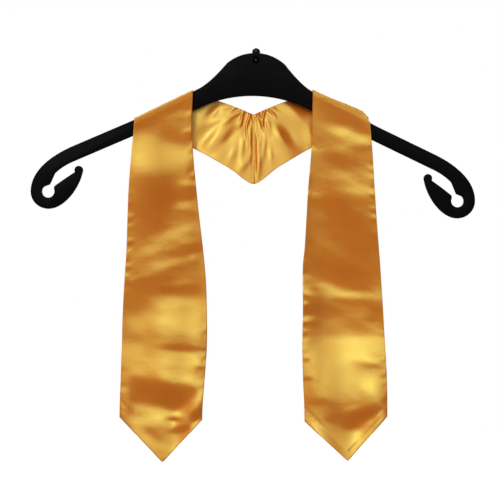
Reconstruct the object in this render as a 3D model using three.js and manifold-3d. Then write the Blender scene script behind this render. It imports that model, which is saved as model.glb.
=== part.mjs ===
import * as THREE from "three";
import { mergeVertices } from "three/addons/utils/BufferGeometryUtils.js";
import Module from "manifold-3d";

// A graduation stole hung over the arms of a moulded top hanger.
// Millimetres, +Z up, the front towards -Y and the wearer's V neck in the middle.
// The origin is the top of the knob that the hanger hangs by.

const wasm = await Module();
wasm.setup();

const CLEARANCE = 0.3; // between any two pieces

// The hanger, in its own upright frame
const HANGER_WIDTH = 444; // over both strap loops
const HANGER_TILT = 1.35; // degrees that the right arm hangs low
const HANGER_THICKNESS = 9;
const EDGE_ROUND = 2; // on every edge of the moulding
const ARM_MEET_DEPTH = 20; // from the knob's top to where the arms' top lines would meet
const ARM_FALL = 24.5; // degrees
const ARM_DEPTH = 14.2; // square to its line
const ARCH_RADIUS = 125; // under the plate, from arm to arm
const CROWN_DEPTH = 5.2; // from the knob's top to the plate's top
const CROWN_RADIUS = 44;
const CROWN_SWEEP = 41; // degrees, each side of the middle
const SEAT_REACH = 58; // where the plate's flank ends and the cloth's seat on the arm begins
const SEAT_DEPTH = 42.9;
const SEAT_END_REACH = 121; // where the seat joins the arm's straight line

// The curves of the hanger's outline, in shares of the sizes that they join
const FLANK_PULL_SHARE = 0.385; // of the run from the crown's end to the seat
const FLANK_FALL_SHARE = 1.35; // how much steeper the flank leaves the crown
const LOOP_OVER_SHARE = 1.38; // of the loop's radius, on along the arm's top
const LOOP_SHOULDER_SHARE = 1.18; // and up from the loop's side
const LOOP_FOOT_SHARE = 0.88; // in from the loop's foot
const TONGUE_BACK_X_SHARE = 0.1; // of the tongue's length and rise
const TONGUE_BACK_Z_SHARE = 0.86;
const TONGUE_BELLY_X_SHARE = 0.42;
const TONGUE_BELLY_Z_SHARE = 0.36;
const TONGUE_TURN = -30.6; // degrees, where the tip's arc ends
const HOLE_LIP_X_SHARE = 0.95; // of the hole's radius, where the tongue runs into it
const HOLE_LIP_Z_SHARE = 0.83;
const HOLE_START_TURN = 154.8; // degrees, where the hole's arc starts
const HOLE_END_TURN = 408.6; // degrees, where it ends
const SLOT_FOOT_X_SHARE = 0.22; // of the hole's radius, up the slot's outer side
const SLOT_FOOT_Z_SHARE = 1.1;
const SLOT_MOUTH_X_SHARE = 1;
const SLOT_MOUTH_Z_SHARE = 2.9;
const SLOT_UNDER_X_SHARE = 2.2;
const SLOT_UNDER_Z_SHARE = 0.75;

// The strap loop at the end of each arm
const LOOP_RADIUS = 17.5;
const LOOP_DEPTH = 148.2; // from the knob's top to the loop's centre
const LOOP_HOLE_RADIUS = 6.3;
const LOOP_BEND = 24.5; // from the loop's centre back to where the arm starts to bend
const TONGUE_TIP_RADIUS = 4.2;
const TONGUE_LENGTH = 30; // from the loop's centre in to the tip's centre
const TONGUE_RISE = 22; // and up to it

// The stem on top
const KNOB_RADIUS = 4.1;
const SHAFT_RADIUS = 2;
const BULB_RADIUS = 3.2;
const BULB_DEPTH = 12.3; // from the knob's top to the bulb's centre
const POCKET_WALL = 1; // left behind the bulb

// The stole
const FACE_WALL = 1;
const LINING_WALL = 1;
const BAND_WIDTH = 85; // at its widest
const POINT_LENGTH = 44; // of the pointed end, from its outer corner
const TIP_WIDTH = 1.6; // of the turned tip itself
const SEAM_X = -2.6; // the centre back seam, beside the knob's middle
const SEAM_DROP = 22.6; // from the seat at the bands' inner edges down to the seam's top
const SEAM_LENGTH = 69.7;
const SEAM_WALL = 1.6; // across the turned allowance
const SEAM_WELT = 0.7; // that the allowance stands proud of the lining
const BACK_LEAN = 7; // degrees that the back panel leans forward as it falls
const NECK_BOW = 1.8; // that each neck edge stands above a straight line
const LEFT_LINE = 93.3; // from the middle plane to the left band's upright line
const LEFT_DROP = 296.7; // from the arm to the outer corner
const LEFT_SLANT = 2; // that the inner corner is lower
const RIGHT_LINE = 90.9;
const RIGHT_SHORTER = 3.2; // that the right band hangs shorter than the left
const RIGHT_DROP = LEFT_DROP - RIGHT_SHORTER;
const RIGHT_SLANT = 5.3;

const radians = THREE.MathUtils.degToRad;
const lerp = THREE.MathUtils.lerp;

// Each half, measured from the middle plane outwards. The tables hold shares of BAND_WIDTH at shares of the
// drop: how high the crest is held off the arm, the two edges' distances from the line, how far the band waves
// forward, and a soft swelling in each row of folds, with its turn in degrees.
const HALVES = [
  {
    name: "left",
    side: -1,
    line: LEFT_LINE,
    drop: LEFT_DROP,
    slant: LEFT_SLANT,
    crest: [
      { across: 0, lift: 0 },
      { across: 1, lift: 0 },
    ],
    edges: [
      { down: -0.1, outer: 0.335, inner: 0.353 },
      { down: 0.01, outer: 0.338, inner: 0.34 },
      { down: 0.11, outer: 0.366, inner: 0.355 },
      { down: 0.23, outer: 0.4, inner: 0.393 },
      { down: 0.33, outer: 0.415, inner: 0.429 },
      { down: 0.44, outer: 0.428, inner: 0.474 },
      { down: 0.54, outer: 0.451, inner: 0.506 },
      { down: 0.65, outer: 0.472, inner: 0.519 },
      { down: 0.76, outer: 0.482, inner: 0.519 },
      { down: 0.87, outer: 0.494, inner: 0.494 },
      { down: 1, outer: 0.506, inner: 0.466 },
    ],
    waves: [
      { down: 0.06, forward: 0 },
      { down: 0.19, forward: 0.045 },
      { down: 0.36, forward: -0.005 },
      { down: 0.42, forward: 0.006 },
      { down: 0.46, forward: -0.004 },
      { down: 0.5, forward: 0 },
      { down: 0.59, forward: -0.03 },
      { down: 0.87, forward: 0.055 },
      { down: 0.97, forward: 0.02 },
      { down: 1.04, forward: 0.04 },
      { down: 1.15, forward: 0.025 },
    ],
    folds: [
      { across: 0.3, down: 0.38, long: 0.26, wide: 0.09, turn: 18, rise: 0.02 },
      { across: 0.1, down: 0.49, long: 0.3, wide: 0.07, turn: 22, rise: 0.016 },
      { across: -0.1, down: 0.59, long: 0.34, wide: 0.06, turn: 10, rise: 0.014 },
      { across: 0.24, down: 0.76, long: 0.24, wide: 0.08, turn: -12, rise: -0.016 },
    ],
  },
  {
    name: "right",
    side: 1,
    line: RIGHT_LINE,
    drop: RIGHT_DROP,
    slant: RIGHT_SLANT,
    crest: [
      { across: 0, lift: 0.035 },
      { across: 0.1, lift: 0.06 },
      { across: 0.25, lift: 0.056 },
      { across: 1, lift: 0.008 },
    ],
    edges: [
      { down: -0.1, outer: 0.247, inner: 0.408 },
      { down: 0, outer: 0.265, inner: 0.415 },
      { down: 0.1, outer: 0.294, inner: 0.424 },
      { down: 0.23, outer: 0.322, inner: 0.461 },
      { down: 0.32, outer: 0.342, inner: 0.479 },
      { down: 0.43, outer: 0.372, inner: 0.501 },
      { down: 0.49, outer: 0.389, inner: 0.522 },
      { down: 0.65, outer: 0.424, inner: 0.522 },
      { down: 0.76, outer: 0.444, inner: 0.529 },
      { down: 0.87, outer: 0.462, inner: 0.522 },
      { down: 1, outer: 0.465, inner: 0.505 },
    ],
    waves: [
      { down: 0.04, forward: 0 },
      { down: 0.09, forward: 0.022 },
      { down: 0.16, forward: 0.008 },
      { down: 0.23, forward: 0.034 },
      { down: 0.52, forward: -0.034 },
      { down: 0.6, forward: -0.014 },
      { down: 0.66, forward: -0.03 },
      { down: 0.93, forward: 0.058 },
      { down: 0.96, forward: 0.052 },
      { down: 0.99, forward: 0.057 },
      { down: 1.05, forward: 0.036 },
      { down: 1.15, forward: 0.046 },
    ],
    folds: [
      { across: 0.16, down: 0.09, long: 0.22, wide: 0.08, turn: -24, rise: 0.02 },
      { across: 0.3, down: 0.24, long: 0.2, wide: 0.09, turn: -18, rise: 0.016 },
      { across: -0.3, down: 0.6, long: 0.24, wide: 0.06, turn: -10, rise: 0.014 },
      { across: 0.14, down: 1.02, long: 0.26, wide: 0.08, turn: -8, rise: -0.016 },
    ],
  },
];

// The back panel's lower edge, in shares of its run and fall from the arm to the seam
const HEM = [
  { along: 0, fall: 0 },
  { along: 0.5, fall: 0.43 },
  { along: 0.72, fall: 0.66 },
  { along: 0.83, fall: 0.79 },
  { along: 0.93, fall: 0.94 },
  { along: 1, fall: 1 },
];

// Gathers beside the seam, in shares of SEAM_LENGTH: how far from it at the neck edge, how far they lean
// out by the lower edge, their width, their rise towards the front, and how far down they have died away
const GATHERS = [
  { at: 0.06, lean: 0.02, wide: 0.026, rise: 0.022, dies: 1.1 },
  { at: 0.15, lean: 0.05, wide: 0.03, rise: 0.028, dies: 0.9 },
  { at: 0.25, lean: 0.1, wide: 0.034, rise: 0.026, dies: 0.7 },
  { at: 0.36, lean: 0.16, wide: 0.045, rise: 0.02, dies: 0.6 },
  { at: 0.56, lean: -0.14, wide: 0.09, rise: 0.022, dies: 1.3 },
  { at: 0.8, lean: -0.2, wide: 0.1, rise: 0.018, dies: 1.4 },
];

const BLACK_MOULDING = { color: "#101113", roughness: 0.5, metalness: 0 };
const BLACK_STEM = { color: "#0c0c0e", roughness: 0.35, metalness: 0 };
const GOLD_SATIN = { color: "#c8922c", roughness: 0.35, metalness: 0.2 };
const GOLD_LINING = { color: "#d3a03a", roughness: 0.38, metalness: 0.2 };

const FRONT_ROWS = 27;
const POINT_ROWS = 6;
const WRAP_STEPS = 3; // round each top edge of the arm
const BACK_WIDE_ROWS = 7; // from the arm to the gathers
const BACK_GATHER_ROWS = 13; // through the gathers to the seam
const GATHERS_START_SHARE = 0.62; // share of the way to the seam
const FREE_FROM_SHARE = 0.45; // share of the way where the panel comes free of the arm
const FREE_BY_SHARE = 0.72; // and where it hangs wholly free
const SEAM_FLAT_SHARE = 0.06; // of SEAM_LENGTH, beside the seam, where the gathers flatten out
const COLUMNS = 8;

// A smooth value from a table, level past its ends.
function fromTable(rows, key, value, at) {
  const last = rows.length - 1;
  if (at <= rows[0][key]) return rows[0][value];
  if (at >= rows[last][key]) return rows[last][value];
  const i = rows.findIndex((row) => row[key] > at) - 1;
  const share = (at - rows[i][key]) / (rows[i + 1][key] - rows[i][key]);
  const slope = (j) => {
    if (j === 0 || j === last) return 0;
    return (
      (rows[j + 1][value] - rows[j - 1][value]) / (rows[j + 1][key] - rows[j - 1][key])
    );
  };
  const step = rows[i + 1][key] - rows[i][key];
  const square = share * share;
  const cube = square * share;
  return (
    (2 * cube - 3 * square + 1) * rows[i][value] +
    (cube - 2 * square + share) * step * slope(i) +
    (3 * square - 2 * cube) * rows[i + 1][value] +
    (cube - square) * step * slope(i + 1)
  );
}

// The arm's straight top line, in the hanger's own frame.
function armTop(reach) {
  return -ARM_MEET_DEPTH - Math.tan(radians(ARM_FALL)) * reach;
}

function armBottom(reach) {
  return armTop(reach) - ARM_DEPTH / Math.cos(radians(ARM_FALL));
}

// A point of the hanger's own frame, after the hanger's tilt.
function tilted(reach, height) {
  const turn = radians(HANGER_TILT);
  return {
    x: reach * Math.cos(turn) + height * Math.sin(turn),
    z: height * Math.cos(turn) - reach * Math.sin(turn),
  };
}

// The right half of the hanger's outline, from the crown's top round to the arch's top.
function hangerHalf() {
  const fall = radians(ARM_FALL);
  const sweep = radians(CROWN_SWEEP);
  const loop = new THREE.Vector2(HANGER_WIDTH / 2 - LOOP_RADIUS, -LOOP_DEPTH);
  const tip = new THREE.Vector2(loop.x - TONGUE_LENGTH, loop.y + TONGUE_RISE);
  const bend = loop.x - LOOP_BEND;
  const crownCentre = -CROWN_DEPTH - CROWN_RADIUS;
  const path = new THREE.Path();
  path.moveTo(0, -CROWN_DEPTH);
  path.absarc(0, crownCentre, CROWN_RADIUS, Math.PI / 2, Math.PI / 2 - sweep, true);

  const crownEnd = CROWN_RADIUS * Math.sin(sweep);
  const flank = (SEAT_REACH - crownEnd) * FLANK_PULL_SHARE;
  const seatSlope = (SEAT_DEPTH + armTop(SEAT_END_REACH)) / (SEAT_END_REACH - SEAT_REACH);
  path.bezierCurveTo(
    crownEnd + flank * Math.cos(sweep),
    crownCentre + CROWN_RADIUS * Math.cos(sweep) - flank * Math.sin(sweep) * FLANK_FALL_SHARE,
    SEAT_REACH - flank,
    -SEAT_DEPTH - flank * seatSlope,
    SEAT_REACH,
    -SEAT_DEPTH,
  );
  path.lineTo(SEAT_END_REACH, armTop(SEAT_END_REACH));
  path.lineTo(bend, armTop(bend));

  // round the outside of the loop and up the tongue's back to its tip
  const outer = LOOP_RADIUS * LOOP_OVER_SHARE;
  path.bezierCurveTo(
    bend + outer * Math.cos(fall),
    armTop(bend) - outer * Math.sin(fall),
    loop.x + LOOP_RADIUS,
    loop.y + LOOP_RADIUS * LOOP_SHOULDER_SHARE,
    loop.x + LOOP_RADIUS,
    loop.y,
  );
  path.absarc(loop.x, loop.y, LOOP_RADIUS, 0, -Math.PI / 2, true);
  path.bezierCurveTo(
    loop.x - LOOP_RADIUS * LOOP_FOOT_SHARE,
    loop.y - LOOP_RADIUS,
    tip.x - TONGUE_TIP_RADIUS + TONGUE_LENGTH * TONGUE_BACK_X_SHARE,
    tip.y - TONGUE_RISE * TONGUE_BACK_Z_SHARE,
    tip.x - TONGUE_TIP_RADIUS,
    tip.y,
  );
  path.absarc(tip.x, tip.y, TONGUE_TIP_RADIUS, Math.PI, radians(TONGUE_TURN), true);

  // down the tongue's inner edge, round the hole, and back along the arm's underside
  const hole = LOOP_HOLE_RADIUS;
  path.quadraticCurveTo(
    tip.x + TONGUE_LENGTH * TONGUE_BELLY_X_SHARE,
    tip.y - TONGUE_RISE * TONGUE_BELLY_Z_SHARE,
    loop.x - hole * HOLE_LIP_X_SHARE,
    loop.y + hole * HOLE_LIP_Z_SHARE,
  );
  path.absarc(loop.x, loop.y, hole, radians(HOLE_START_TURN), radians(HOLE_END_TURN), false);
  path.lineTo(loop.x - hole * SLOT_FOOT_X_SHARE, loop.y + hole * SLOT_FOOT_Z_SHARE);
  path.lineTo(loop.x - hole * SLOT_MOUTH_X_SHARE, loop.y + hole * SLOT_MOUTH_Z_SHARE);
  path.quadraticCurveTo(
    loop.x - hole * SLOT_UNDER_X_SHARE,
    armBottom(bend) - hole * SLOT_UNDER_Z_SHARE,
    bend,
    armBottom(bend),
  );
  const archReach = ARCH_RADIUS * Math.sin(fall);
  const archCentre = armBottom(archReach) - ARCH_RADIUS * Math.cos(fall);
  path.lineTo(archReach, armBottom(archReach));
  path.absarc(0, archCentre, ARCH_RADIUS, Math.PI / 2 - fall, Math.PI / 2, false);
  return path.getPoints(6);
}

// The points once each, without those that fall together.
function withoutRepeats(points) {
  const apart = 0.05;
  return points.filter(
    (p, i) => p.distanceTo(points[(i + points.length - 1) % points.length]) > apart,
  );
}

function solidFrom(geometry) {
  const bare = geometry.clone();
  bare.deleteAttribute("normal");
  bare.deleteAttribute("uv");
  const merged = mergeVertices(bare, 1e-4);
  return new wasm.Manifold(
    new wasm.Mesh({
      numProp: 3,
      vertProperties: merged.attributes.position.array,
      triVerts: new Uint32Array(merged.index.array),
    }),
  );
}

function geometryFrom(solid) {
  const mesh = solid.getMesh();
  const geometry = new THREE.BufferGeometry();
  geometry.setAttribute("position", new THREE.BufferAttribute(mesh.vertProperties, 3));
  geometry.setIndex(new THREE.BufferAttribute(mesh.triVerts, 1));
  geometry.computeVertexNormals();
  return geometry;
}

function hangerBody() {
  const half = hangerHalf();
  const mirrored = half.map((p) => new THREE.Vector2(-p.x, p.y)).reverse();
  const outline = withoutRepeats([...half, ...mirrored]);
  const moulding = new THREE.ExtrudeGeometry(new THREE.Shape(outline), {
    depth: HANGER_THICKNESS - 2 * EDGE_ROUND,
    bevelEnabled: true,
    bevelThickness: EDGE_ROUND,
    bevelSize: EDGE_ROUND,
    bevelOffset: -EDGE_ROUND,
    bevelSegments: 2,
    curveSegments: 1,
  });
  moulding.translate(0, 0, EDGE_ROUND - HANGER_THICKNESS / 2);
  moulding.rotateX(Math.PI / 2);

  const bore = new THREE.CylinderGeometry(
    SHAFT_RADIUS + CLEARANCE,
    SHAFT_RADIUS + CLEARANCE,
    BULB_DEPTH,
    16,
  );
  bore.rotateX(Math.PI / 2);
  bore.translate(0, 0, -BULB_DEPTH / 2);
  const pocketDepth = HANGER_THICKNESS - POCKET_WALL;
  const pocket = new THREE.CylinderGeometry(
    BULB_RADIUS + CLEARANCE,
    BULB_RADIUS + CLEARANCE,
    pocketDepth + CLEARANCE,
    24,
  );
  pocket.translate(0, (-POCKET_WALL - CLEARANCE) / 2, -BULB_DEPTH);
  return geometryFrom(
    solidFrom(moulding).subtract(solidFrom(bore)).subtract(solidFrom(pocket)),
  );
}

// The knob, shaft and bulb, turned as one round piece.
function hookStem() {
  const profile = new THREE.Path();
  const underKnob = -CROWN_DEPTH + CLEARANCE;
  const bulbTop = Math.asin(SHAFT_RADIUS / BULB_RADIUS);
  profile.moveTo(0, -BULB_DEPTH - BULB_RADIUS);
  profile.absarc(0, -BULB_DEPTH, BULB_RADIUS, -Math.PI / 2, Math.PI / 2 - bulbTop, false);
  profile.lineTo(SHAFT_RADIUS, underKnob);
  profile.lineTo(KNOB_RADIUS, underKnob);
  profile.lineTo(KNOB_RADIUS, -KNOB_RADIUS);
  profile.absarc(0, -KNOB_RADIUS, KNOB_RADIUS, 0, Math.PI / 2, false);
  const points = withoutRepeats(profile.getPoints(4));
  points[0].x = 0;
  points[points.length - 1].x = 0;
  const geometry = new THREE.LatheGeometry(points, 16);
  geometry.rotateX(Math.PI / 2);
  return geometry;
}

// The line that the cloth lies on along the seat of the arm, in the part's frame.
function seatLine(side) {
  const near = tilted(side * SEAT_REACH, -SEAT_DEPTH);
  const far = tilted(side * SEAT_END_REACH, armTop(SEAT_END_REACH));
  const slope = (far.z - near.z) / (far.x - near.x);
  return {
    height: (x) => near.z + slope * (x - near.x),
    rake: Math.hypot(1, slope), // an upright step for a step square to the line
  };
}

// The height of the seam's top, midway between the seats at the two bands' inner edges.
function seamTop() {
  const heights = HALVES.map((half) => {
    const inner = half.line - BAND_WIDTH * half.edges[0].inner;
    return seatLine(half.side).height(half.side * inner);
  });
  return (heights[0] + heights[1]) / 2 - SEAM_DROP;
}

// How far the front band swings forward of the arm's face at a point.
function forward(half, x, z, top) {
  const down = (top - z) / half.drop;
  let out = fromTable(half.waves, "down", "forward", down);
  for (const fold of half.folds) {
    const turn = radians(half.side * fold.turn);
    const dx = (x / half.side - half.line) / BAND_WIDTH + fold.across;
    const dz = ((down - fold.down) * half.drop) / BAND_WIDTH;
    const along = (dx * Math.cos(turn) + half.side * dz * Math.sin(turn)) / fold.long;
    const over = (dz * Math.cos(turn) - half.side * dx * Math.sin(turn)) / fold.wide;
    out += fold.rise * Math.exp(-along * along - over * over);
  }
  return BAND_WIDTH * out;
}

// How far the back panel's gathers rise towards the front at a point.
function gathered(half, x, z, neck, hem) {
  const out = (half.side * (x - SEAM_X)) / SEAM_LENGTH;
  const down = THREE.MathUtils.clamp((neck - z) / (neck - hem), 0, 1);
  let rise = 0;
  for (const gather of GATHERS) {
    const off = (out - gather.at - gather.lean * down) / gather.wide;
    const left = Math.max(0, 1 - (down / gather.dies) ** 2);
    rise += gather.rise * left * Math.exp(-off * off);
  }
  return rise * SEAM_LENGTH * THREE.MathUtils.smoothstep(out, 0, SEAM_FLAT_SHARE);
}

// The stations of a half, from the tip of its point, over the arm, to the seam.
function stations() {
  const list = [];
  for (let i = 0; i < POINT_ROWS; i++) list.push({ part: "point", share: i / POINT_ROWS });
  for (let i = 0; i < FRONT_ROWS; i++) list.push({ part: "front", share: i / FRONT_ROWS });
  for (let i = 0; i <= WRAP_STEPS; i++) list.push({ part: "wrap", turn: (90 * i) / WRAP_STEPS });
  for (let i = 0; i <= WRAP_STEPS; i++) {
    list.push({ part: "wrap", turn: 90 + (90 * i) / WRAP_STEPS, behind: true });
  }
  for (let i = 1; i <= BACK_WIDE_ROWS; i++) {
    list.push({ part: "back", share: (GATHERS_START_SHARE * i) / BACK_WIDE_ROWS });
  }
  for (let i = 1; i <= BACK_GATHER_ROWS; i++) {
    list.push({ part: "back", share: lerp(GATHERS_START_SHARE, 1, i / BACK_GATHER_ROWS) });
  }
  return list;
}

// A point of the surface that lies a given distance off the arm, at a station and a share across
// from the outer edge to the inner one.
function clothPoint(half, station, across, off) {
  const { side } = half;
  const seat = seatLine(side);
  const edge = (name, down) => BAND_WIDTH * fromTable(half.edges, "down", name, down);
  const outerX = (down) => side * (half.line + edge("outer", down));
  const innerX = (down) => side * (half.line - edge("inner", down));
  const crown = (x) => {
    const lift = BAND_WIDTH * fromTable(half.crest, "across", "lift", across);
    return seat.height(x) + seat.rake * lift;
  };
  const start = half.edges[0].down;
  const crestOuter = outerX(start);
  const crestInner = innerX(start);
  const under = EDGE_ROUND * seat.rake; // the cloth turns over the arm's rounded edge above this
  const top = seat.height(crestOuter);
  const corner = top - half.drop;
  const innerCorner = corner - half.slant;
  const faceY = HANGER_THICKNESS / 2 + off;

  if (station.part === "wrap") {
    const x = lerp(crestOuter, crestInner, across);
    const round = EDGE_ROUND + off;
    const flat = HANGER_THICKNESS / 2 - EDGE_ROUND;
    const turn = radians(station.turn);
    const y = (station.behind ? flat : -flat) - round * Math.cos(turn);
    return new THREE.Vector3(x, y, crown(x) - under + seat.rake * round * Math.sin(turn));
  }

  if (station.part === "back") {
    const seamX = SEAM_X + side * (SEAM_WALL / 2 + CLEARANCE);
    const armOuter = crown(crestOuter) - under;
    const armInner = crown(crestInner) - under;
    const hemFall = fromTable(HEM, "along", "fall", station.share);
    const hem = lerp(armOuter, seamTop() - SEAM_LENGTH, hemFall);
    const bow = NECK_BOW * Math.sin(Math.PI * station.share);
    const neck = lerp(armInner, seamTop(), station.share) + bow;
    const x = lerp(
      lerp(crestOuter, seamX, station.share),
      lerp(crestInner, seamX, station.share),
      across,
    );
    const z = lerp(hem, neck, across);
    const free = THREE.MathUtils.smoothstep(station.share, FREE_FROM_SHARE, FREE_BY_SHARE);
    const lean = Math.tan(radians(BACK_LEAN)) * (neck - z);
    return new THREE.Vector3(x, faceY - free * (gathered(half, x, z, neck, hem) + lean), z);
  }

  // the front band and its point
  const armOuter = crown(crestOuter) - under;
  const armInner = crown(crestInner) - under;
  const front = station.part === "front" ? station.share : 0;
  const outerZ = lerp(corner, armOuter, front);
  const innerZ = lerp(innerCorner, armInner, front);
  const outer = outerX((top - outerZ) / half.drop);
  const inner = innerX((top - innerZ) / half.drop);
  let x = lerp(outer, inner, across);
  let z = lerp(outerZ, innerZ, across);
  if (station.part === "point") {
    const tipX = side * half.line + side * TIP_WIDTH * (0.5 - across);
    x = lerp(tipX, x, station.share);
    z = lerp(corner - POINT_LENGTH, z, station.share);
  }
  return new THREE.Vector3(x, -faceY - forward(half, x, z, top), z);
}

// A closed wall of cloth between two distances off the arm.
function clothWall(half, from, to) {
  const rows = stations();
  const positions = [];
  const across = COLUMNS + 1;
  for (const off of [to, from]) {
    for (const station of rows) {
      for (let i = 0; i < across; i++) {
        positions.push(...clothPoint(half, station, i / COLUMNS, off).toArray());
      }
    }
  }
  const layer = rows.length * across;
  const faces = [];
  const quad = (a, b, c, d) => {
    if (half.side < 0) faces.push(a, b, c, a, c, d);
    else faces.push(a, c, b, a, d, c);
  };
  for (let r = 0; r < rows.length - 1; r++) {
    for (let i = 0; i < COLUMNS; i++) {
      const a = r * across + i;
      const b = a + across;
      quad(a, a + 1, b + 1, b);
      quad(layer + a, layer + b, layer + b + 1, layer + a + 1);
    }
    const outer = r * across;
    const inner = outer + COLUMNS;
    quad(outer, outer + across, layer + outer + across, layer + outer);
    quad(inner + across, inner, layer + inner, layer + inner + across);
  }
  const last = (rows.length - 1) * across;
  for (let i = 0; i < COLUMNS; i++) {
    quad(i + 1, i, layer + i, layer + i + 1);
    quad(last + i, last + i + 1, layer + last + i + 1, layer + last + i);
  }
  const geometry = new THREE.BufferGeometry();
  geometry.setAttribute("position", new THREE.Float32BufferAttribute(positions, 3));
  geometry.setIndex(faces);
  geometry.computeVertexNormals();
  return geometry;
}

// The seam's turned allowance, a welt between the two halves that leans with them.
function centreSeam(front, back) {
  const lean = radians(BACK_LEAN);
  const welt = new THREE.BoxGeometry(SEAM_WALL, back - front, SEAM_LENGTH / Math.cos(lean));
  welt.translate(0, 0, -SEAM_LENGTH / Math.cos(lean) / 2);
  welt.rotateX(-lean);
  welt.translate(SEAM_X, (front + back) / 2, seamTop());
  return welt;
}

function piece(name, geometry, finish) {
  const mesh = new THREE.Mesh(geometry, new THREE.MeshStandardMaterial(finish));
  mesh.name = name;
  return mesh;
}

const hanger = new THREE.Group();
hanger.rotation.y = radians(HANGER_TILT);
hanger.add(piece("hanger_body", hangerBody(), BLACK_MOULDING));
hanger.add(piece("hook_stem", hookStem(), BLACK_STEM));

const liningTop = CLEARANCE + LINING_WALL;
const faceTop = liningTop + CLEARANCE + FACE_WALL;
const stole = new THREE.Group();
for (const half of HALVES) {
  stole.add(piece(`${half.name}_lining`, clothWall(half, CLEARANCE, liningTop), GOLD_LINING));
  stole.add(piece(`${half.name}_face`, clothWall(half, liningTop + CLEARANCE, faceTop), GOLD_SATIN));
}
const backY = HANGER_THICKNESS / 2;
stole.add(
  piece("centre_seam", centreSeam(backY + CLEARANCE - SEAM_WELT, backY + faceTop), GOLD_LINING),
);

const part = new THREE.Group();
part.add(hanger, stole);

export default part;
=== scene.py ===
"""Looks of a gold satin graduation stole that hangs over a black moulded top hanger.

Lengths are millimetres in the part's frame until a mesh is made, which is in metres, and so is the
studio. +Z is up and the front of the stole faces -Y. Left and right are as seen from the front.
"""

import logging
import math
from dataclasses import dataclass, field
from enum import Enum
from typing import Any, Sequence

import bpy
import numpy as np
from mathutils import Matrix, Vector


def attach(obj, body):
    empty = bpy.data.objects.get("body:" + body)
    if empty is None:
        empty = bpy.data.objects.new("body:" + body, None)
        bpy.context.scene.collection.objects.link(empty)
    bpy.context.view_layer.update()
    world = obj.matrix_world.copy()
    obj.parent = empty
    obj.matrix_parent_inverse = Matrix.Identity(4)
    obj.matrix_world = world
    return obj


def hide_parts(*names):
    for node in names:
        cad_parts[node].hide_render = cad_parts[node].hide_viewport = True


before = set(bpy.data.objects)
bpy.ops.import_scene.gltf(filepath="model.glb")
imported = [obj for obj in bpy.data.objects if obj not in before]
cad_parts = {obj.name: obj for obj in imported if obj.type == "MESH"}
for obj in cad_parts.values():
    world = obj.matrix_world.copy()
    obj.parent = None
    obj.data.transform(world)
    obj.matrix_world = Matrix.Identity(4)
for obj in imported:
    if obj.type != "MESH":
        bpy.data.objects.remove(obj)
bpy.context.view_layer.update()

log = logging.getLogger("stole")
logging.basicConfig(level=logging.INFO, format="%(name)s: %(message)s")

MM = 0.001
THREAD_UNIT = 100.0  # millimetres in one unit of the cloth's own UV map
NOISE_LOW, NOISE_HIGH = 0.3, 0.7  # between which a noise mostly stays
PHOTO_MM = 500.0  # the photograph's view at the hanger's plane
VIEW_X = -6.3  # the middle of that view
VIEW_Z = -202.0


class Layer(Enum):
    """The two layers of cloth that each half is sewn from."""

    FACE = "face"
    LINING = "lining"


class Station(Enum):
    """Where a row of the cloth's grid lies, from the tip of the point to the seam."""

    POINT = "point"
    FRONT = "front"
    WRAP = "wrap"
    BACK = "back"


def linear(hex_colour: str) -> tuple[float, float, float, float]:
    """Turns an sRGB hex colour to linear light.

    Args:
        hex_colour: The colour as "#rrggbb".

    Returns:
        Red, green, blue and alpha.
    """
    parts = [int(hex_colour[i : i + 2], 16) / 255 for i in (1, 3, 5)]
    low = [p / 12.92 if p <= 0.04045 else ((p + 0.055) / 1.055) ** 2.4 for p in parts]
    return (*low, 1.0)


def add_node(tree: bpy.types.NodeTree, kind: str, settings: dict[str, Any], **links: Any) -> Any:
    """Adds a node with its settings and links.

    Args:
        tree: The node tree.
        kind: The node's type name.
        settings: Properties by name, and socket values by socket name or number.
        links: Output sockets by the name of the input they go to, with _ for a space.

    Returns:
        The node.
    """
    node = tree.nodes.new(kind)
    for key, value in settings.items():
        if isinstance(key, str) and hasattr(node, key):
            setattr(node, key, value)
        else:
            node.inputs[key].default_value = value
    for name, socket in links.items():
        key = int(name[1:]) if name[1:].isdigit() else name.replace("_", " ")
        tree.links.new(socket, node.inputs[key])
    return node


def smooth_between(value: Any, low: float, high: float) -> Any:
    """Eases from 0 at low to 1 at high.

    Args:
        value: A number or an array.
        low: Where the result is 0.
        high: Where the result is 1.

    Returns:
        The eased share.
    """
    share = np.clip((value - low) / (high - low), 0, 1)
    return share * share * (3 - 2 * share)


def from_table(rows: Sequence[Any], key: str, name: str, at: Any) -> Any:
    """A smooth value from a table of rows, level past its ends.

    Args:
        rows: The table.
        key: The column that at is measured in.
        name: The column that is read.
        at: A number or an array.

    Returns:
        The values at those places.
    """
    xs = np.array([getattr(row, key) for row in rows], float)
    ys = np.array([getattr(row, name) for row in rows], float)
    slopes = np.zeros_like(ys)
    slopes[1:-1] = (ys[2:] - ys[:-2]) / (xs[2:] - xs[:-2])
    at = np.clip(np.asarray(at, float), xs[0], xs[-1])
    i = np.clip(np.searchsorted(xs, at, side="right") - 1, 0, len(xs) - 2)
    step = xs[i + 1] - xs[i]
    share = (at - xs[i]) / step
    square, cube = share**2, share**3
    return (
        (2 * cube - 3 * square + 1) * ys[i]
        + (cube - 2 * square + share) * step * slopes[i]
        + (3 * square - 2 * cube) * ys[i + 1]
        + (cube - square) * step * slopes[i + 1]
    )


def in_object_mode(obj: bpy.types.Object) -> None:
    """Leaves only this object selected and active, in object mode.

    Args:
        obj: The object.
    """
    if bpy.context.object and bpy.context.object.mode != "OBJECT":
        bpy.ops.object.mode_set(mode="OBJECT")
    bpy.ops.object.select_all(action="DESELECT")
    obj.select_set(True)
    bpy.context.view_layer.objects.active = obj


def dress(obj: bpy.types.Object, material: bpy.types.Material) -> None:
    """Gives an object one material."""
    obj.data.materials.clear()
    obj.data.materials.append(material)


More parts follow.
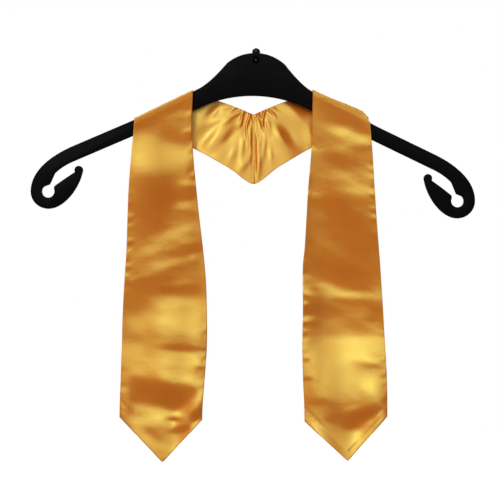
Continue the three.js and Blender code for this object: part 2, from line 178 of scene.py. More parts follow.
@dataclass(frozen=True)
class SatinFinish:
    """Polyester satin weave: long warp floats along the band, so light draws out across it."""

    name: str
    ground: str
    bright: str
    gleam: str
    roughness: float = 0.42
    anisotropy: float = 0.75
    ior: float = 2.2
    lustre: float = 1.0
    streak_mm: float = 0.9  # warp streaks; real floats are 0.1 mm apart, too fine to show
    streak_long_mm: float = 16.0
    streak_high_mm: float = 0.08
    streak_share: float = 0.35  # of the streaks in the tone, and the rest is clouds
    cloud_mm: float = 38.0  # slow changes of tone, as a handled satin has
    rumple_mm: float = 24.0  # soft crumples from packing, longer across the band
    rumple_high_mm: float = 0.27
    rumple_squash: float = 1.7
    roughness_swing: tuple[float, float] = (-0.04, 0.05)

    def material(self) -> bpy.types.Material:
        """Makes the material.

        Returns:
            The satin, reading the cloth's own UV map and Object coordinates.
        """
        made = bpy.data.materials.new(self.name)
        made.use_nodes = True
        tree = made.node_tree
        shader = tree.nodes["Principled BSDF"]
        threads = add_node(tree, "ShaderNodeUVMap", {"uv_map": "threads"})
        across, along = THREAD_UNIT / self.streak_mm, THREAD_UNIT / self.streak_long_mm
        laid = add_node(
            tree,
            "ShaderNodeMapping",
            {"Scale": (across, along, 1)},
            Vector=threads.outputs["UV"],
        )
        streaks = add_node(
            tree,
            "ShaderNodeTexNoise",
            {"Scale": 1.0, "Detail": 2.0, "Roughness": 0.6},
            Vector=laid.outputs["Vector"],
        )
        place = add_node(tree, "ShaderNodeTexCoord", {})
        clouds = add_node(
            tree,
            "ShaderNodeTexNoise",
            {"Scale": 1000 / self.cloud_mm, "Detail": 3.0, "Roughness": 0.55},
            Vector=place.outputs["Object"],
        )
        tone = add_node(
            tree,
            "ShaderNodeMix",
            {"data_type": "FLOAT", "Factor": self.streak_share},
            A=clouds.outputs["Fac"],
            B=streaks.outputs["Fac"],
        )
        ramp = add_node(tree, "ShaderNodeValToRGB", {}, Fac=tone.outputs["Result"])
        stops = ((NOISE_LOW, self.ground), (NOISE_HIGH, self.bright))
        for element, (position, colour) in zip(ramp.color_ramp.elements, stops):
            element.position = position
            element.color = linear(colour)
        rough = add_node(
            tree,
            "ShaderNodeMapRange",
            {
                "From Min": NOISE_LOW,
                "From Max": NOISE_HIGH,
                "To Min": self.roughness + self.roughness_swing[0],
                "To Max": self.roughness + self.roughness_swing[1],
            },
            Value=clouds.outputs["Fac"],
        )
        flattened = add_node(
            tree,
            "ShaderNodeMapping",
            {"Scale": (1.0, 1.0, self.rumple_squash)},
            Vector=place.outputs["Object"],
        )
        rumple = add_node(
            tree,
            "ShaderNodeTexNoise",
            {"Scale": 1000 / self.rumple_mm, "Detail": 4.0, "Roughness": 0.6},
            Vector=flattened.outputs["Vector"],
        )
        rumpled = add_node(
            tree,
            "ShaderNodeBump",
            {"Strength": 1.0, "Distance": self.rumple_high_mm / 1000},
            Height=rumple.outputs["Fac"],
        )
        bump = add_node(
            tree,
            "ShaderNodeBump",
            {"Strength": 0.5, "Distance": self.streak_high_mm / 1000},
            Height=streaks.outputs["Fac"],
            Normal=rumpled.outputs["Normal"],
        )
        tangent = add_node(
            tree, "ShaderNodeTangent", {"direction_type": "UV_MAP", "uv_map": "threads"}
        )
        shader.inputs["IOR"].default_value = self.ior
        shader.inputs["Specular IOR Level"].default_value = self.lustre
        # orange ground under a yellow-green gleam is what turns the lit folds to lemon gold
        shader.inputs["Specular Tint"].default_value = linear(self.gleam)
        # light draws out across the threads, so a fold shows by how far it leans
        shader.inputs["Anisotropic"].default_value = self.anisotropy
        tree.links.new(ramp.outputs["Color"], shader.inputs["Base Color"])
        tree.links.new(rough.outputs["Result"], shader.inputs["Roughness"])
        tree.links.new(bump.outputs["Normal"], shader.inputs["Normal"])
        tree.links.new(tangent.outputs["Tangent"], shader.inputs["Tangent"])
        return made


@dataclass(frozen=True)
class MouldedFinish:
    """Black polystyrene, injection moulded: a soft sheen broken by a fine spark-eroded grain."""

    name: str
    dark: str
    worn: str
    roughness: float
    shine: float = 0.2
    ior: float = 1.5
    grain_mm: float = 0.7
    grain_high_mm: float = 0.05
    cloud_mm: float = 22.0
    worn_spread: tuple[float, float] = (0.4, 0.75)  # of the clouds' noise, from dark to worn
    roughness_swing: tuple[float, float] = (-0.06, 0.08)

    def material(self) -> bpy.types.Material:
        """Makes the material.

        Returns:
            The plastic, reading Object coordinates.
        """
        made = bpy.data.materials.new(self.name)
        made.use_nodes = True
        tree = made.node_tree
        shader = tree.nodes["Principled BSDF"]
        place = add_node(tree, "ShaderNodeTexCoord", {})
        grain = add_node(
            tree,
            "ShaderNodeTexNoise",
            {"Scale": 1000 / self.grain_mm, "Detail": 2.0},
            Vector=place.outputs["Object"],
        )
        clouds = add_node(
            tree,
            "ShaderNodeTexNoise",
            {"Scale": 1000 / self.cloud_mm, "Detail": 4.0, "Roughness": 0.6},
            Vector=place.outputs["Object"],
        )
        ramp = add_node(tree, "ShaderNodeValToRGB", {}, Fac=clouds.outputs["Fac"])
        stops = zip(self.worn_spread, (self.dark, self.worn))
        for element, (position, colour) in zip(ramp.color_ramp.elements, stops):
            element.position = position
            element.color = linear(colour)
        rough = add_node(
            tree,
            "ShaderNodeMapRange",
            {
                "From Min": NOISE_LOW,
                "From Max": NOISE_HIGH,
                "To Min": self.roughness + self.roughness_swing[0],
                "To Max": self.roughness + self.roughness_swing[1],
            },
            Value=clouds.outputs["Fac"],
        )
        bump = add_node(
            tree,
            "ShaderNodeBump",
            {"Strength": 0.25, "Distance": self.grain_high_mm / 1000},
            Height=grain.outputs["Fac"],
        )
        shader.inputs["IOR"].default_value = self.ior
        shader.inputs["Specular IOR Level"].default_value = self.shine
        tree.links.new(ramp.outputs["Color"], shader.inputs["Base Color"])
        tree.links.new(rough.outputs["Result"], shader.inputs["Roughness"])
        tree.links.new(bump.outputs["Normal"], shader.inputs["Normal"])
        return made


# the outer satin is a deep orange gold that gleams lemon where a fold leans to the light
FACE_SATIN = SatinFinish("gold_polyester_satin", "#d65a06", "#e0680b", "#ecf77c")
# the lining is the same satin, a little paler and with a broader sheen
LINING_SATIN = SatinFinish(
    "gold_satin_lining", "#da640a", "#e47010", "#eef782", roughness=0.43, anisotropy=0.6
)
# the hanger is nearly a black shape, with a faint sheen along its rounded edges
HANGER_PLASTIC = MouldedFinish("black_moulded_polystyrene", "#010102", "#030304", 0.5, shine=0.06)
# the smoother knob and bulb take a small glint
STEM_PLASTIC = MouldedFinish("black_moulded_nylon", "#020202", "#040405", 0.35, shine=0.3)


@dataclass
class Hanger:
    """The moulded top hanger: crowned plate, arms, and a strap loop with a tongue at each end."""

    width: float = 444.0
    tilt: float = 1.35
    thickness: float = 9.0
    edge_round: float = 2.0
    arm_meet_depth: float = 20.0
    arm_fall: float = 24.5
    arm_depth: float = 14.2
    arch_radius: float = 125.0
    crown_depth: float = 5.2
    crown_radius: float = 44.0
    crown_sweep: float = 41.0
    seat_reach: float = 58.0
    seat_depth: float = 42.9
    seat_end_reach: float = 121.0
    loop_radius: float = 17.5
    loop_depth: float = 148.2
    loop_hole_radius: float = 6.3
    loop_bend: float = 24.5
    tongue_tip_radius: float = 4.2
    tongue_length: float = 30.0
    tongue_rise: float = 22.0
    pocket_radius: float = 3.5
    pocket_depth: float = 12.3
    pocket_wall: float = 1.0
    bore_radius: float = 2.3

    def arm_top(self, reach: float) -> float:
        """The height of the arm's straight top line at a reach, before the tilt."""
        return -self.arm_meet_depth - math.tan(math.radians(self.arm_fall)) * reach

    def arm_bottom(self, reach: float) -> float:
        """The height of the arm's underside at a reach, before the tilt."""
        return self.arm_top(reach) - self.arm_depth / math.cos(math.radians(self.arm_fall))

    def tilted(self, reach: float, height: float) -> tuple[float, float]:
        """A point of the hanger's own frame after its tilt.

        Args:
            reach: How far the point is to the right of the middle.
            height: Its height, from the knob's top.

        Returns:
            The point's x and z.
        """
        turn = math.radians(self.tilt)
        return (
            reach * math.cos(turn) + height * math.sin(turn),
            height * math.cos(turn) - reach * math.sin(turn),
        )

    def seat_line(self, side: int) -> tuple[float, float, float]:
        """The line that the cloth lies on along the seat of an arm.

        Args:
            side: -1 for the left arm as seen from the front, 1 for the right.

        Returns:
            The line's height at x = 0, its slope, and an upright step for a step square to it.
        """
        near = self.tilted(side * self.seat_reach, -self.seat_depth)
        far = self.tilted(side * self.seat_end_reach, self.arm_top(self.seat_end_reach))
        slope = (far[1] - near[1]) / (far[0] - near[0])
        return near[1] - slope * near[0], slope, math.hypot(1, slope)

    def half_outline(self) -> list[tuple[float, float]]:
        """The right half of the outline, from the crown's top round to the arch's top.

        Returns:
            Points in the hanger's own frame.
        """
        fall, sweep = math.radians(self.arm_fall), math.radians(self.crown_sweep)
        loop = (self.width / 2 - self.loop_radius, -self.loop_depth)
        tip = (loop[0] - self.tongue_length, loop[1] + self.tongue_rise)
        bend = loop[0] - self.loop_bend
        crown_centre = -self.crown_depth - self.crown_radius
        crown_end = self.crown_radius * math.sin(sweep)
        flank = (self.seat_reach - crown_end) / 2.6
        seat_slope = (self.seat_depth + self.arm_top(self.seat_end_reach)) / (
            self.seat_end_reach - self.seat_reach
        )
        r, hole = self.loop_radius, self.loop_hole_radius
        path: list[tuple[float, float]] = []

        def arc(centre: tuple[float, float], radius: float, start: float, end: float) -> None:
            """Adds an arc to the path.

            Args:
                centre: The arc's centre.
                radius: Its radius.
                start: The angle that it starts at, in radians.
                end: The angle that it ends at.
            """
            steps = max(4, int(abs(end - start) * radius / 1.2) + 6)
            for i in range(steps + 1):
                a = start + (end - start) * i / steps
                path.append((centre[0] + radius * math.cos(a), centre[1] + radius * math.sin(a)))

        def curve(*points: tuple[float, float]) -> None:
            """Adds a Bezier curve that starts at the path's end.

            Args:
                points: The handles, and last the point that the curve ends at.
            """
            start = path[-1]
            steps = 20
            for i in range(1, steps + 1):
                t = i / steps
                level = [start, *points]
                while len(level) > 1:
                    level = [
                        (a[0] + (b[0] - a[0]) * t, a[1] + (b[1] - a[1]) * t)
                        for a, b in zip(level, level[1:])
                    ]
                path.append(level[0])

        # each curve's handles are shares of the radius, length or rise that it leads to
        arc((0, crown_centre), self.crown_radius, math.pi / 2, math.pi / 2 - sweep)
        curve(
            (
                crown_end + flank * math.cos(sweep),
                crown_centre + self.crown_radius * math.cos(sweep) - flank * math.sin(sweep) * 1.35,
            ),
            (self.seat_reach - flank, -self.seat_depth - flank * seat_slope),
            (self.seat_reach, -self.seat_depth),
        )
        path.append((self.seat_end_reach, self.arm_top(self.seat_end_reach)))
        path.append((bend, self.arm_top(bend)))
        outer = r * 1.38
        curve(
            (bend + outer * math.cos(fall), self.arm_top(bend) - outer * math.sin(fall)),
            (loop[0] + r, loop[1] + r * 1.18),
            (loop[0] + r, loop[1]),
        )
        arc(loop, r, 0, -math.pi / 2)
        curve(
            (loop[0] - r * 0.88, loop[1] - r),
            (
                tip[0] - self.tongue_tip_radius + self.tongue_length * 0.1,
                tip[1] - self.tongue_rise * 0.86,
            ),
            (tip[0] - self.tongue_tip_radius, tip[1]),
        )
        arc(tip, self.tongue_tip_radius, math.pi, -math.pi * 0.17)
        curve(
            (tip[0] + self.tongue_length * 0.42, tip[1] - self.tongue_rise * 0.36),
            (loop[0] - hole * 0.95, loop[1] + hole * 0.83),
        )
        arc(loop, hole, math.pi * 0.86, math.pi * 2.27)
        path.append((loop[0] - hole * 0.22, loop[1] + hole * 1.1))
        path.append((loop[0] - hole, loop[1] + hole * 2.9))
        curve(
            (loop[0] - hole * 2.2, self.arm_bottom(bend) - hole * 0.75),
            (bend, self.arm_bottom(bend)),
        )
        reach = self.arch_radius * math.sin(fall)
        centre = self.arm_bottom(reach) - self.arch_radius * math.cos(fall)
        path.append((reach, self.arm_bottom(reach)))
        arc((0, centre), self.arch_radius, math.pi / 2 - fall, math.pi / 2)
        return path

    def build(self) -> bpy.types.Object:
        """Models the moulding from its outline, filled, given its depth, and rounded.

        Returns:
            The piece that stands for hanger_body.
        """
        half = self.half_outline()
        whole = half + [(-x, z) for x, z in reversed(half)]
        closest = 0.2  # the rounding needs points that aren't closer than this
        apart = [p for i, p in enumerate(whole) if math.dist(p, whole[i - 1]) > closest]
        outline = [self.tilted(*p) for p in apart]
        depth = self.thickness / 2 * MM

        bpy.ops.object.select_all(action="DESELECT")
        bpy.ops.mesh.primitive_circle_add(vertices=len(outline), radius=0.1, fill_type="NOTHING")
        moulding = bpy.context.object
        moulding.name = moulding.data.name = "hanger_moulding"
        for vertex, (x, z) in zip(moulding.data.vertices, outline):
            vertex.co = (x * MM, -depth, z * MM)
        bpy.ops.object.mode_set(mode="EDIT")
        bpy.ops.mesh.select_all(action="SELECT")
        bpy.ops.mesh.edge_face_add()
        bpy.ops.mesh.extrude_region_move(TRANSFORM_OT_translate={"value": (0, 2 * depth, 0)})
        bpy.ops.mesh.select_all(action="SELECT")
        bpy.ops.mesh.normals_make_consistent(inside=False)
        bpy.ops.object.mode_set(mode="OBJECT")
        rounding = moulding.modifiers.new("rounded_edges", "BEVEL")
        rounding.width = self.edge_round * MM
        rounding.segments = 4
        rounding.limit_method = "ANGLE"
        rounding.angle_limit = math.radians(60)
        bpy.ops.object.modifier_apply(modifier=rounding.name)
        self.cut(moulding, self.pocket())
        self.cut(moulding, self.bore())
        in_object_mode(moulding)
        bpy.ops.object.shade_smooth_by_angle(angle=math.radians(40))
        return moulding

    def pocket(self) -> bpy.types.Object:
        """Makes the cutter for the round pocket in the front of the plate, where the bulb shows.

        Returns:
            The cutter.
        """
        x, z = self.tilted(0, -self.pocket_depth)
        deep, proud = (self.thickness - self.pocket_wall) * MM, 1 * MM
        bpy.ops.object.select_all(action="DESELECT")
        bpy.ops.mesh.primitive_cylinder_add(
            vertices=48,
            radius=self.pocket_radius * MM,
            depth=deep + proud,
            location=(x * MM, -self.thickness / 2 * MM + (deep - proud) / 2, z * MM),
            rotation=(math.pi / 2, 0, 0),
        )
        return bpy.context.object

    def bore(self) -> bpy.types.Object:
        """Makes the cutter for the shaft's bore, from the plate's top to the pocket.

        Returns:
            The cutter.
        """
        top = self.tilted(0, 0)
        low = self.tilted(0, -self.pocket_depth)
        bpy.ops.object.select_all(action="DESELECT")
        bpy.ops.mesh.primitive_cylinder_add(
            vertices=32,
            radius=self.bore_radius * MM,
            depth=self.pocket_depth * MM,
            location=((top[0] + low[0]) / 2 * MM, 0, (top[1] + low[1]) / 2 * MM),
            rotation=(0, math.radians(self.tilt), 0),
        )
        return bpy.context.object

    def cut(self, body: bpy.types.Object, tool: bpy.types.Object) -> None:
        """Cuts a tool out of a body and removes the tool.

        Args:
            body: The body that is cut.
            tool: The cutter.
        """
        in_object_mode(body)
        cutting = body.modifiers.new("cut", "BOOLEAN")
        cutting.operation = "DIFFERENCE"
        cutting.solver = "EXACT"
        cutting.object = tool
        bpy.ops.object.modifier_apply(modifier=cutting.name)
        bpy.data.objects.remove(tool)


@dataclass
class Stem:
    """The black knob on top of the plate, its shaft, and the bulb end in the plate's pocket."""

    hanger: Hanger = field(default_factory=Hanger)
    knob_radius: float = 4.1
    knob_bottom: float = -4.9
    knob_edge: float = 0.3
    shaft_radius: float = 2.0
    bulb_radius: float = 3.2
    bulb_steps: int = 14
    knob_steps: int = 12
    pole_radius: float = 0.02  # of the last ring, before it is merged to a point

    def profile(self) -> list[tuple[float, float]]:
        """The stem's turned outline, from the bulb's foot up to the knob's top.

        Returns:
            Pairs of radius and height.
        """
        rows: list[tuple[float, float]] = []
        bulb, knob, edge = self.bulb_radius, self.knob_radius, self.knob_edge
        bulb_centre = -self.hanger.pocket_depth
        neck = math.asin(self.shaft_radius / bulb)
        for i in range(1, self.bulb_steps + 1):
            a = -math.pi / 2 + (math.pi - neck) * i / self.bulb_steps
            rows.append((bulb * math.cos(a), bulb_centre + bulb * math.sin(a)))
        rows.append((self.shaft_radius, self.knob_bottom))
        rows.append((knob - edge, self.knob_bottom))
        rows.append((knob, self.knob_bottom + edge))
        for i in range(self.knob_steps):
            a = math.pi / 2 * i / self.knob_steps
            rows.append((knob * math.cos(a), -knob + knob * math.sin(a)))
        return rows

    def build(self) -> bpy.types.Object:
        """Turns the stem up from a small disc, ring by ring.

        Returns:
            The piece that stands for hook_stem.
        """
        rows = self.profile()
        foot = -self.hanger.pocket_depth - self.bulb_radius
        bpy.ops.object.select_all(action="DESELECT")
        bpy.ops.mesh.primitive_circle_add(
            vertices=40, radius=rows[0][0] * MM, fill_type="TRIFAN", location=(0, 0, foot * MM)
        )
        stem = bpy.context.object
        stem.name = stem.data.name = "turned_stem"
        bpy.ops.object.mode_set(mode="EDIT")
        bpy.ops.mesh.select_all(action="SELECT")
        height, radius = foot, rows[0][0]
        for wide, high in [*rows, (self.pole_radius, 0.0)]:
            bpy.ops.mesh.extrude_region_move(
                TRANSFORM_OT_translate={"value": (0, 0, (high - height) * MM)}
            )
            share = wide / radius
            bpy.ops.transform.resize(value=(share, share, 1))
            height, radius = high, wide
        bpy.ops.mesh.select_all(action="SELECT")
        bpy.ops.mesh.remove_doubles(threshold=0.00001)
        bpy.ops.mesh.normals_make_consistent(inside=False)
        bpy.ops.object.mode_set(mode="OBJECT")
        bpy.ops.object.transform_apply(location=True, rotation=True, scale=True)
        stem.rotation_euler = (0, math.radians(self.hanger.tilt), 0)
        bpy.ops.object.transform_apply(location=True, rotation=True, scale=True)
        bpy.ops.object.shade_smooth_by_angle(angle=math.radians(50))
        return stem


@dataclass
class CentreSeam:
    """The centre back seam's turned allowance, a thin raised welt down the V."""

    x: float = -2.6
    top: float = 66.3
    length: float = 69.7
    lean: float = 7.0  # degrees that the seam and the back panel lean forward
    wall: float = 1.5
    front: float = 4.1
    back: float = 7.0
    end_round: float = 0.6
    end_share: float = 0.35  # of the section that is left at the welt's very ends
    square: float = 0.72  # the section is between a box at 0 and an oval at 1
    rows: int = 90
    around: int = 20

    WANDER = ((0.18, 6.2), (0.1, 2.9))  # how far the sewing strays, and over what length

    def ring(self, down: float) -> list[tuple[float, float, float]]:
        """The welt's section at one place.

        Args:
            down: The distance down the seam from the neck edge.

        Returns:
            Points around the section.
        """
        mid, deep = (self.front + self.back) / 2, (self.back - self.front) / 2
        end = min(1.0, min(down, self.length - down) / self.end_round)
        round_off = math.sqrt(max(0.0, 1 - (1 - end) ** 2))
        shrink = self.end_share + (1 - self.end_share) * round_off
        x = self.x + sum(far * math.sin(down / long) for far, long in self.WANDER)
        y = mid - math.tan(math.radians(self.lean)) * down
        points = []
        for j in range(self.around):
            a = 2 * math.pi * j / self.around
            across = math.copysign(abs(math.cos(a)) ** self.square, math.cos(a))
            fore = math.copysign(abs(math.sin(a)) ** self.square, math.sin(a))
            points.append(
                (
                    x + self.wall / 2 * across * shrink,
                    y - deep * fore * shrink,
                    -self.top - down,
                )
            )
        return points

    def build(self) -> bpy.types.Object:
        """Makes the welt as a rounded strip that wanders a little.

        Returns:
            The piece that stands for centre_seam.
        """
        around = self.around
        downs = [self.length * i / self.rows for i in range(self.rows + 1)]
        points = [point for down in downs for point in self.ring(down)]
        faces = [
            (i + j, i + (j + 1) % around, i + around + (j + 1) % around, i + around + j)
            for i in range(0, self.rows * around, around)
            for j in range(around)
        ]
        faces.append(tuple(range(around))[::-1])
        faces.append(tuple(range(self.rows * around, (self.rows + 1) * around)))
        mesh = bpy.data.meshes.new("seam_welt")
        mesh.from_pydata((np.array(points) * MM).tolist(), [], faces)
        uv = mesh.uv_layers.new(name="threads")
        for loop in mesh.loops:
            ring, j = divmod(loop.vertex_index, around)
            girth = self.wall * 2 * j / around
            uv.data[loop.index].uv = (girth / THREAD_UNIT, downs[ring] / THREAD_UNIT)
        obj = bpy.data.objects.new("seam_welt", mesh)
        bpy.context.scene.collection.objects.link(obj)
        in_object_mode(obj)
        bpy.ops.object.mode_set(mode="EDIT")
        bpy.ops.mesh.select_all(action="SELECT")
        bpy.ops.mesh.normals_make_consistent(inside=False)
        bpy.ops.object.mode_set(mode="OBJECT")
        bpy.ops.object.shade_smooth_by_angle(angle=math.radians(60))
        return obj


@dataclass(frozen=True)
class EdgeRow:
    """Distances of a band's two edges from its line, in shares of the band's width."""

    down: float
    outer: float
    inner: float


@dataclass(frozen=True)
class CrestRow:
    """How high the cloth's crest is held off the arm, in shares of the band's width."""

    across: float
    lift: float


@dataclass(frozen=True)
class HemRow:
    """The back panel's lower edge, in shares of its run and fall."""

    along: float
    fall: float


@dataclass(frozen=True)
class Patch:
    """An oval place in the front view: its middle, turn in degrees, and half length and width."""

    x: float
    z: float
    turn: float
    long: float
    wide: float

    def apart(self, x: Any, z: Any) -> tuple[Any, Any]:
        """How far points lie from the patch's middle.

        Args:
            x: The points' x.
            z: The same for z.

        Returns:
            Distances along the patch and across it, in its half length and half width.
        """
        turn = math.radians(self.turn)
        dx, dz = x - self.x, z - self.z
        along = (dx * math.cos(turn) + dz * math.sin(turn)) / self.long
        over = (dz * math.cos(turn) - dx * math.sin(turn)) / self.wide
        return along, over


@dataclass(frozen=True)
class Lean(Patch):
    """A patch where the cloth leans out as it falls, or back in where lean is negative.

    A patch that leans out faces up a little and takes the light, and one that leans in is dark.
    """

    lean: float

    def at(self, x: Any, z: Any) -> Any:
        """The lean in degrees at points of the front view, level in the middle of the patch."""
        along, over = self.apart(x, z)
        return self.lean * np.exp(-((along**2 + over**2) ** 1.25))


@dataclass(frozen=True)
class Fold(Patch):
    """A ridge towards the front, or a hollow where rise is negative."""

    rise: float

    def at(self, x: Any, z: Any) -> Any:
        """The ridge's height at points of the front view."""
        along, over = self.apart(x, z)
        return self.rise * np.exp(-(along**2) - over**2)


@dataclass(frozen=True)
class Gather:
    """A gather beside the seam, in shares of the seam's length."""

    at: float
    lean: float
    wide: float
    rise: float
    dies: float


@dataclass(frozen=True)
class Ripple:
    """One of the ripples of a drawn-up edge: its length, its share, and how its phase runs."""

    long: float
    share: float
    phase: float


@dataclass(frozen=True)
class Offset:
    """How far off the arm's face a layer's two surfaces lie, and which way it puffs."""

    outward: float
    inward: float
    way: int


OFFSETS = {Layer.FACE: Offset(0.95, 0.9, 1), Layer.LINING: Offset(0.75, 0.8, -1)}


@dataclass
class Half:
    """One half of the stole: a pointed front band, the turn over the arm, and half the back."""

    name: str
    side: int
    line: float
    drop: float
    slant: float
    crest: tuple[CrestRow, ...]
    edges: tuple[EdgeRow, ...]
    leans: tuple[Lean, ...]
    gathers: tuple[Gather, ...]
    back_folds: tuple[Fold, ...]
    pucker_phase: float
    hem_press: float = 0.0  # that the cloth between the point's pressed hems stands out
    hanger: Hanger = field(default_factory=Hanger)
    seam: CentreSeam = field(default_factory=CentreSeam)
    band_width: float = 85.0
    point_length: float = 44.0
    point_half: float = 0.485  # of the band's width, from the tip's line to a corner
    point_inset: float = 0.72  # turns a distance along a row square to a slanting edge
    tip_width: float = 1.6
    seam_meet: float = 0.3  # off the seam's line, where the cloth meets the welt
    neck_bow: float = 1.8  # that the neck edge stands above a straight line
    crest_stand: float = 3.0  # that the cloth's soft crest stands forward of the arm's face
    crest_lean: float = 7.0  # degrees that the cloth leans forward on its way up to the roll
    crest_roll: float = 0.3  # a power below 1 makes the front of the roll sharper
    crest_ease: float = 0.8  # below the arm's line, over which a band's leans begin
    slack: float = 130.0  # how soon a swing dies away down the band
    small_slack: float = 20.0  # and how soon after a patch that is less than small_patch long
    small_patch: float = 15.5
    swing_step: float = 0.75  # between the points at which the swing is worked out
    handled: float = 0.4  # degrees of each slow ripple that handling left
    handled_ripples: int = 14
    handled_fine: int = 4  # of those, the shortest, which are weaker
    handled_first: float = 7.0
    handled_next: float = 4.4  # that each ripple is longer than the one before
    drawn: float = 0.24  # the puckers' height
    pucker_beat: float = 31.0
    pucker_reach: float = 5.5
    pucker_edge: float = 1.2
    inner_phase: float = 2.4  # that sets the inner edge's puckers apart from the outer's
    wander: float = 0.018  # of the seam's length, by which a gather snakes
    wander_waves: float = 14.0
    wander_apart: float = 60.0
    rest_off: float = 0.85  # off the arm's face, between the two layers
    rim: float = 1.1  # how far in from an edge the cloth rounds off
    rim_high: float = 0.45
    puff_reach: float = 7.0  # how far in from an edge the layers part
    puff_high: float = 0.7
    puff_back: float = 0.5  # of that, on the back panel
    puff_from: float = 22.0  # below the arm, where the layers begin to part
    puff_full: float = 60.0
    press_above: float = 24.0  # the point's corners, where the hems begin to press the layers
    press_below: float = 4.0
    press_share: float = 0.93
    hem_wide: float = 5.2
    hem_ease: float = 2.0
    point_rows: int = 34
    front_rows: int = 200
    wrap_rows: int = 7
    back_rows: int = 96
    columns: int = 58

    HEM = (
        HemRow(0, 0),
        HemRow(0.5, 0.43),
        HemRow(0.72, 0.66),
        HemRow(0.83, 0.79),
        HemRow(0.93, 0.94),
        HemRow(1, 1),
    )
    PUCKERS = (Ripple(2.1, 1.0, 1.0), Ripple(3.3, 0.8, 2.3), Ripple(1.37, 0.5, 0.7))
    # shares of the back panel's run, from the arm to the seam, over which each of these sets in
    FOLDS_BEGIN = (0.03, 0.12)
    FOLDS_END = (1.0, 0.96)
    LEAN_BEGINS = (0.45, 0.72)
    PUFF_BEGINS = (0.3, 0.6)

    def stations(self) -> list[tuple[Station, float]]:
        """The grid's rows, from the tip of the point, over the arm, to the seam.

        Returns:
            Each row's stretch, and its share of the stretch or its turn over the arm in degrees.
        """
        rows = [(Station.POINT, i / self.point_rows) for i in range(self.point_rows)]
        rows += [(Station.FRONT, i / self.front_rows) for i in range(self.front_rows)]
        turns = [180 * i / (2 * self.wrap_rows) for i in range(2 * self.wrap_rows + 1)]
        rows += [(Station.WRAP, turn) for turn in (0.0, 4.0, *turns[1:])]
        rows += [(Station.BACK, i / self.back_rows) for i in range(1, self.back_rows + 1)]
        return rows

    def shares_across(self) -> np.ndarray:
        """The grid's columns, close together at both edges.

        Returns:
            Shares of the width from the outer edge to the inner one.
        """
        crowding = 0.55  # of the even spacing that the columns lose at the edges
        fine = np.array([0.0015, 0.0045, 0.009])  # columns on the rounding of an edge
        past_fine = 0.013
        t = np.linspace(0, 1, self.columns + 1)
        spread = t - crowding * np.sin(2 * math.pi * t) / (2 * math.pi)
        inside = spread[(spread > past_fine) & (spread < 1 - past_fine)]
        return np.concatenate([[0], fine, inside, 1 - fine[::-1], [1]])

    def inset(self, run: np.ndarray) -> np.ndarray:
        """How far in from an edge the points of a row lie.

        Args:
            run: The points' distances from the outer edge.

        Returns:
            Distances from the nearer edge, rounded over where both are as near.
        """
        least = 1e-6  # keeps the edges themselves off zero
        first, second = run + least, run[-1] - run + least
        return (first**-3.0 + second**-3.0) ** (-1 / 3)

    def from_point(self, points: np.ndarray, tip: np.ndarray) -> np.ndarray:
        """Distances of front points from the slanting edges of the band's point.

        Args:
            points: Points as rows of x, y, z.
            tip: The tip's row of points.

        Returns:
            The distance from the nearer slanting edge's line.
        """
        away = np.abs(points[:, 0] - tip[:, 0].mean())
        rise = points[:, 2] - tip[0, 2]
        half = self.band_width * self.point_half
        slant = math.hypot(half, self.point_length)
        return np.abs(half * rise - self.point_length * away) / slant

    def edge_x(self, name: str, down: Any) -> Any:
        """An edge's x at a share of the drop."""
        reach = self.band_width * from_table(self.edges, "down", name, down)
        return self.side * (self.line + (reach if name == "outer" else -reach))

    def handling(self, x: Any, z: Any) -> Any:
        """Slight leans left by folding and handling, as a sum of slow ripples.

        Args:
            x: The points' x in the front view.
            z: The same for z.

        Returns:
            The leans in degrees.
        """
        total = 0.0
        for i in range(self.handled_ripples):
            phase = self.pucker_phase * (i + 1) * 1.9
            long = self.handled_first + self.handled_next * i
            # most ripples run across the band, and none runs quite like the next
            turn = math.radians(66 + 19 * math.sin(phase * 2.1))
            along = x * math.cos(turn) + z * math.sin(turn)
            share = 0.6 if i < self.handled_fine else 1.0
            total = total + share * np.sin(along * 2 * math.pi / long + phase)
        return self.handled * total

    def swing(self, x: np.ndarray, z: np.ndarray) -> np.ndarray:
        """How far the band swings forward, found by following its leans straight down from the arm.

        Args:
            x: The band's x, a row for each station from the tip up to the arm.
            z: The same for z.

        Returns:
            Distances forward of the arm's face.
        """
        step = self.swing_step
        across = np.arange(x.min() - step, x.max() + 2 * step, step)
        up = np.arange(z.min() - step, z.max() + 2 * step, step)
        order = np.argsort(x[-1])
        ends = x[-1][order[0]], x[-1][order[-1]]
        past = across - np.clip(across, *ends)
        arm_slope = self.hanger.seat_line(self.side)[1]
        arm = np.interp(across, x[-1][order], z[-1][order]) + arm_slope * past
        under = smooth_between(arm[None] - up[:, None], 0, self.crest_ease)
        out = np.zeros((len(up), len(across)))
        swings = ((False, self.slack, self.crest_stand), (True, self.small_slack, 0.0))
        for small, slack, start in swings:
            lean = np.zeros_like(out) if small else self.handling(across[None], up[:, None])
            for patch in self.leans:
                if (patch.long < self.small_patch) == small:
                    lean = lean + patch.at(across[None], up[:, None])
            slope = np.tan(np.radians(lean)) * under
            keep = math.exp(-step / slack)
            reach = np.full(len(across), start)
            out[-1] += reach
            for i in range(len(up) - 2, -1, -1):
                reach = np.where(up[i] < arm, reach * keep + slope[i] * step, reach)
                out[i] += reach
        # read between the points of the square grid
        col, row = (x - across[0]) / step, (z - up[0]) / step
        j, i = np.floor(col).astype(int), np.floor(row).astype(int)
        col, row = col - j, row - i
        low = out[i, j] * (1 - col) + out[i, j + 1] * col
        high = out[i + 1, j] * (1 - col) + out[i + 1, j + 1] * col
        return low * (1 - row) + high * row

